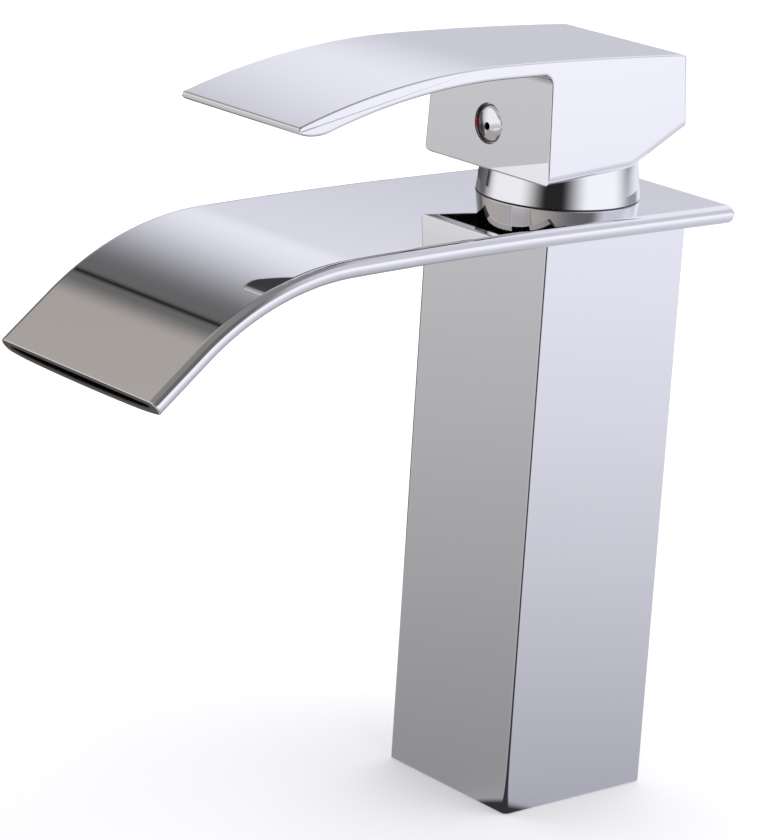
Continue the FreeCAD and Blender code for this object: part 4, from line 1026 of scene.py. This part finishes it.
def make_floor_card():
    """The floor as the mirrors see it, with the object's own shade and two darker sectors."""
    material, nodes = new_material("floor_card_tones")
    place = nodes.add("ShaderNodeTexCoord").outputs["Object"]
    distance = nodes.add("ShaderNodeVectorMath", {"operation": "LENGTH"}, in0=place).outputs["Value"]
    reach = nodes.math("DIVIDE", distance, CARD_REACH, clamp=True)
    towards = (sine(CARD_TOWARDS), -math.cos(math.radians(CARD_TOWARDS)), 0.0)
    along = nodes.add("ShaderNodeVectorMath", {"operation": "DOT_PRODUCT"}, in0=place, in1=towards)
    side = nodes.math("DIVIDE", along.outputs["Value"], nodes.math("MAXIMUM", distance, 0.001))
    angle = azimuth_of(nodes, place)
    azimuth = nodes.math("MULTIPLY", angle, 180 / math.pi)

    def sector(clear, full, back, gone, share):
        rise, fall = nodes.smooth(azimuth, clear, full), nodes.smooth(azimuth, gone, back)
        return nodes.math("MULTIPLY", nodes.math("MULTIPLY", rise, fall), share)

    front = tone_row(nodes, reach, falloff(*CARD_FRONT), CARD_REACH)
    rear = tone_row(nodes, reach, falloff(*CARD_REAR), CARD_REACH, COOL)
    nodes.glow(layered(nodes, front, [
        (nodes.smooth(side, -CARD_CHANGE, CARD_CHANGE), rear),
        (nodes.smooth(distance, *CARD_BLEND), tone_ring(nodes, turn_of(nodes, angle), HORIZON)),
        (sector(*PATCH_TURN, nodes.smooth(distance, *PATCH_REACH)), colour(*PATCH_TONE)),
        (sector(*SECTOR_TURN, SECTOR_SHARE), colour(*SECTOR_TONE)),
    ]))
    for_mirrors_only(add_object("floor_card", square_form(FLOOR_HALF, CARD_LEVEL), [material]))


def make_flag():
    """A low dark card in an arc: it gives the plate and the bonnet their dark accents."""
    form = bmesh.new()
    columns = []
    layer = form.loops.layers.uv.new("along")
    for step in range(FLAG_STEPS + 1):
        turn = math.radians(FLAG_FROM + (FLAG_TO - FLAG_FROM) * step / FLAG_STEPS)
        x, y = FLAG_RADIUS * math.sin(turn), -FLAG_RADIUS * math.cos(turn)
        columns.append([form.verts.new((x, y, z)) for z in (CARD_LEVEL, FLAG_HIGH)])
    for step, (near, far) in enumerate(zip(columns, columns[1:])):
        face = form.faces.new((near[0], far[0], far[1], near[1]))
        for loop, (across, up) in zip(face.loops, ((0, 0), (1, 0), (1, 1), (0, 1))):
            loop[layer].uv = ((step + across) / FLAG_STEPS, up)
    material, nodes = new_material("dark_card_tones")
    place = nodes.add("ShaderNodeTexCoord").outputs["UV"]
    along = nodes.add("ShaderNodeSeparateXYZ", Vector=place).outputs["X"]
    nodes.glow(tone_row(nodes, along, FLAG_TONES))
    for_mirrors_only(add_object("dark_card", form, [material]))


make_floor_card()
make_flag()

# name, azimuth, elevation, distance, size, watts
LAMPS = [
    ("key_lamp", 128, 62, 1.6, 1.5, 8.0),
    ("fill_lamp", -60, 58, 1.8, 1.7, 6.0),
    ("rear_lamp", -150, 55, 1.8, 1.5, 6.0),
]


def make_lamps():
    """Large soft lamps round the object. The dome shows them to the chrome, so mirrors skip them."""
    for name, azimuth, elevation, distance, size, watts in LAMPS:
        data = bpy.data.lights.new(name, "AREA")
        data.shape = "DISK"
        data.size = size
        data.energy = watts
        lamp = bpy.data.objects.new(name, data)
        bpy.context.scene.collection.objects.link(lamp)
        turn, rise = math.radians(azimuth), math.radians(elevation)
        towards = Vector((
            math.sin(turn) * math.cos(rise), -math.cos(turn) * math.cos(rise), math.sin(rise)))
        lamp.location = towards * distance
        lamp.rotation_euler = towards.to_track_quat("Z", "Y").to_euler()
        lamp.visible_glossy = False


make_lamps()

bpy.context.scene.view_settings.view_transform = "Standard"
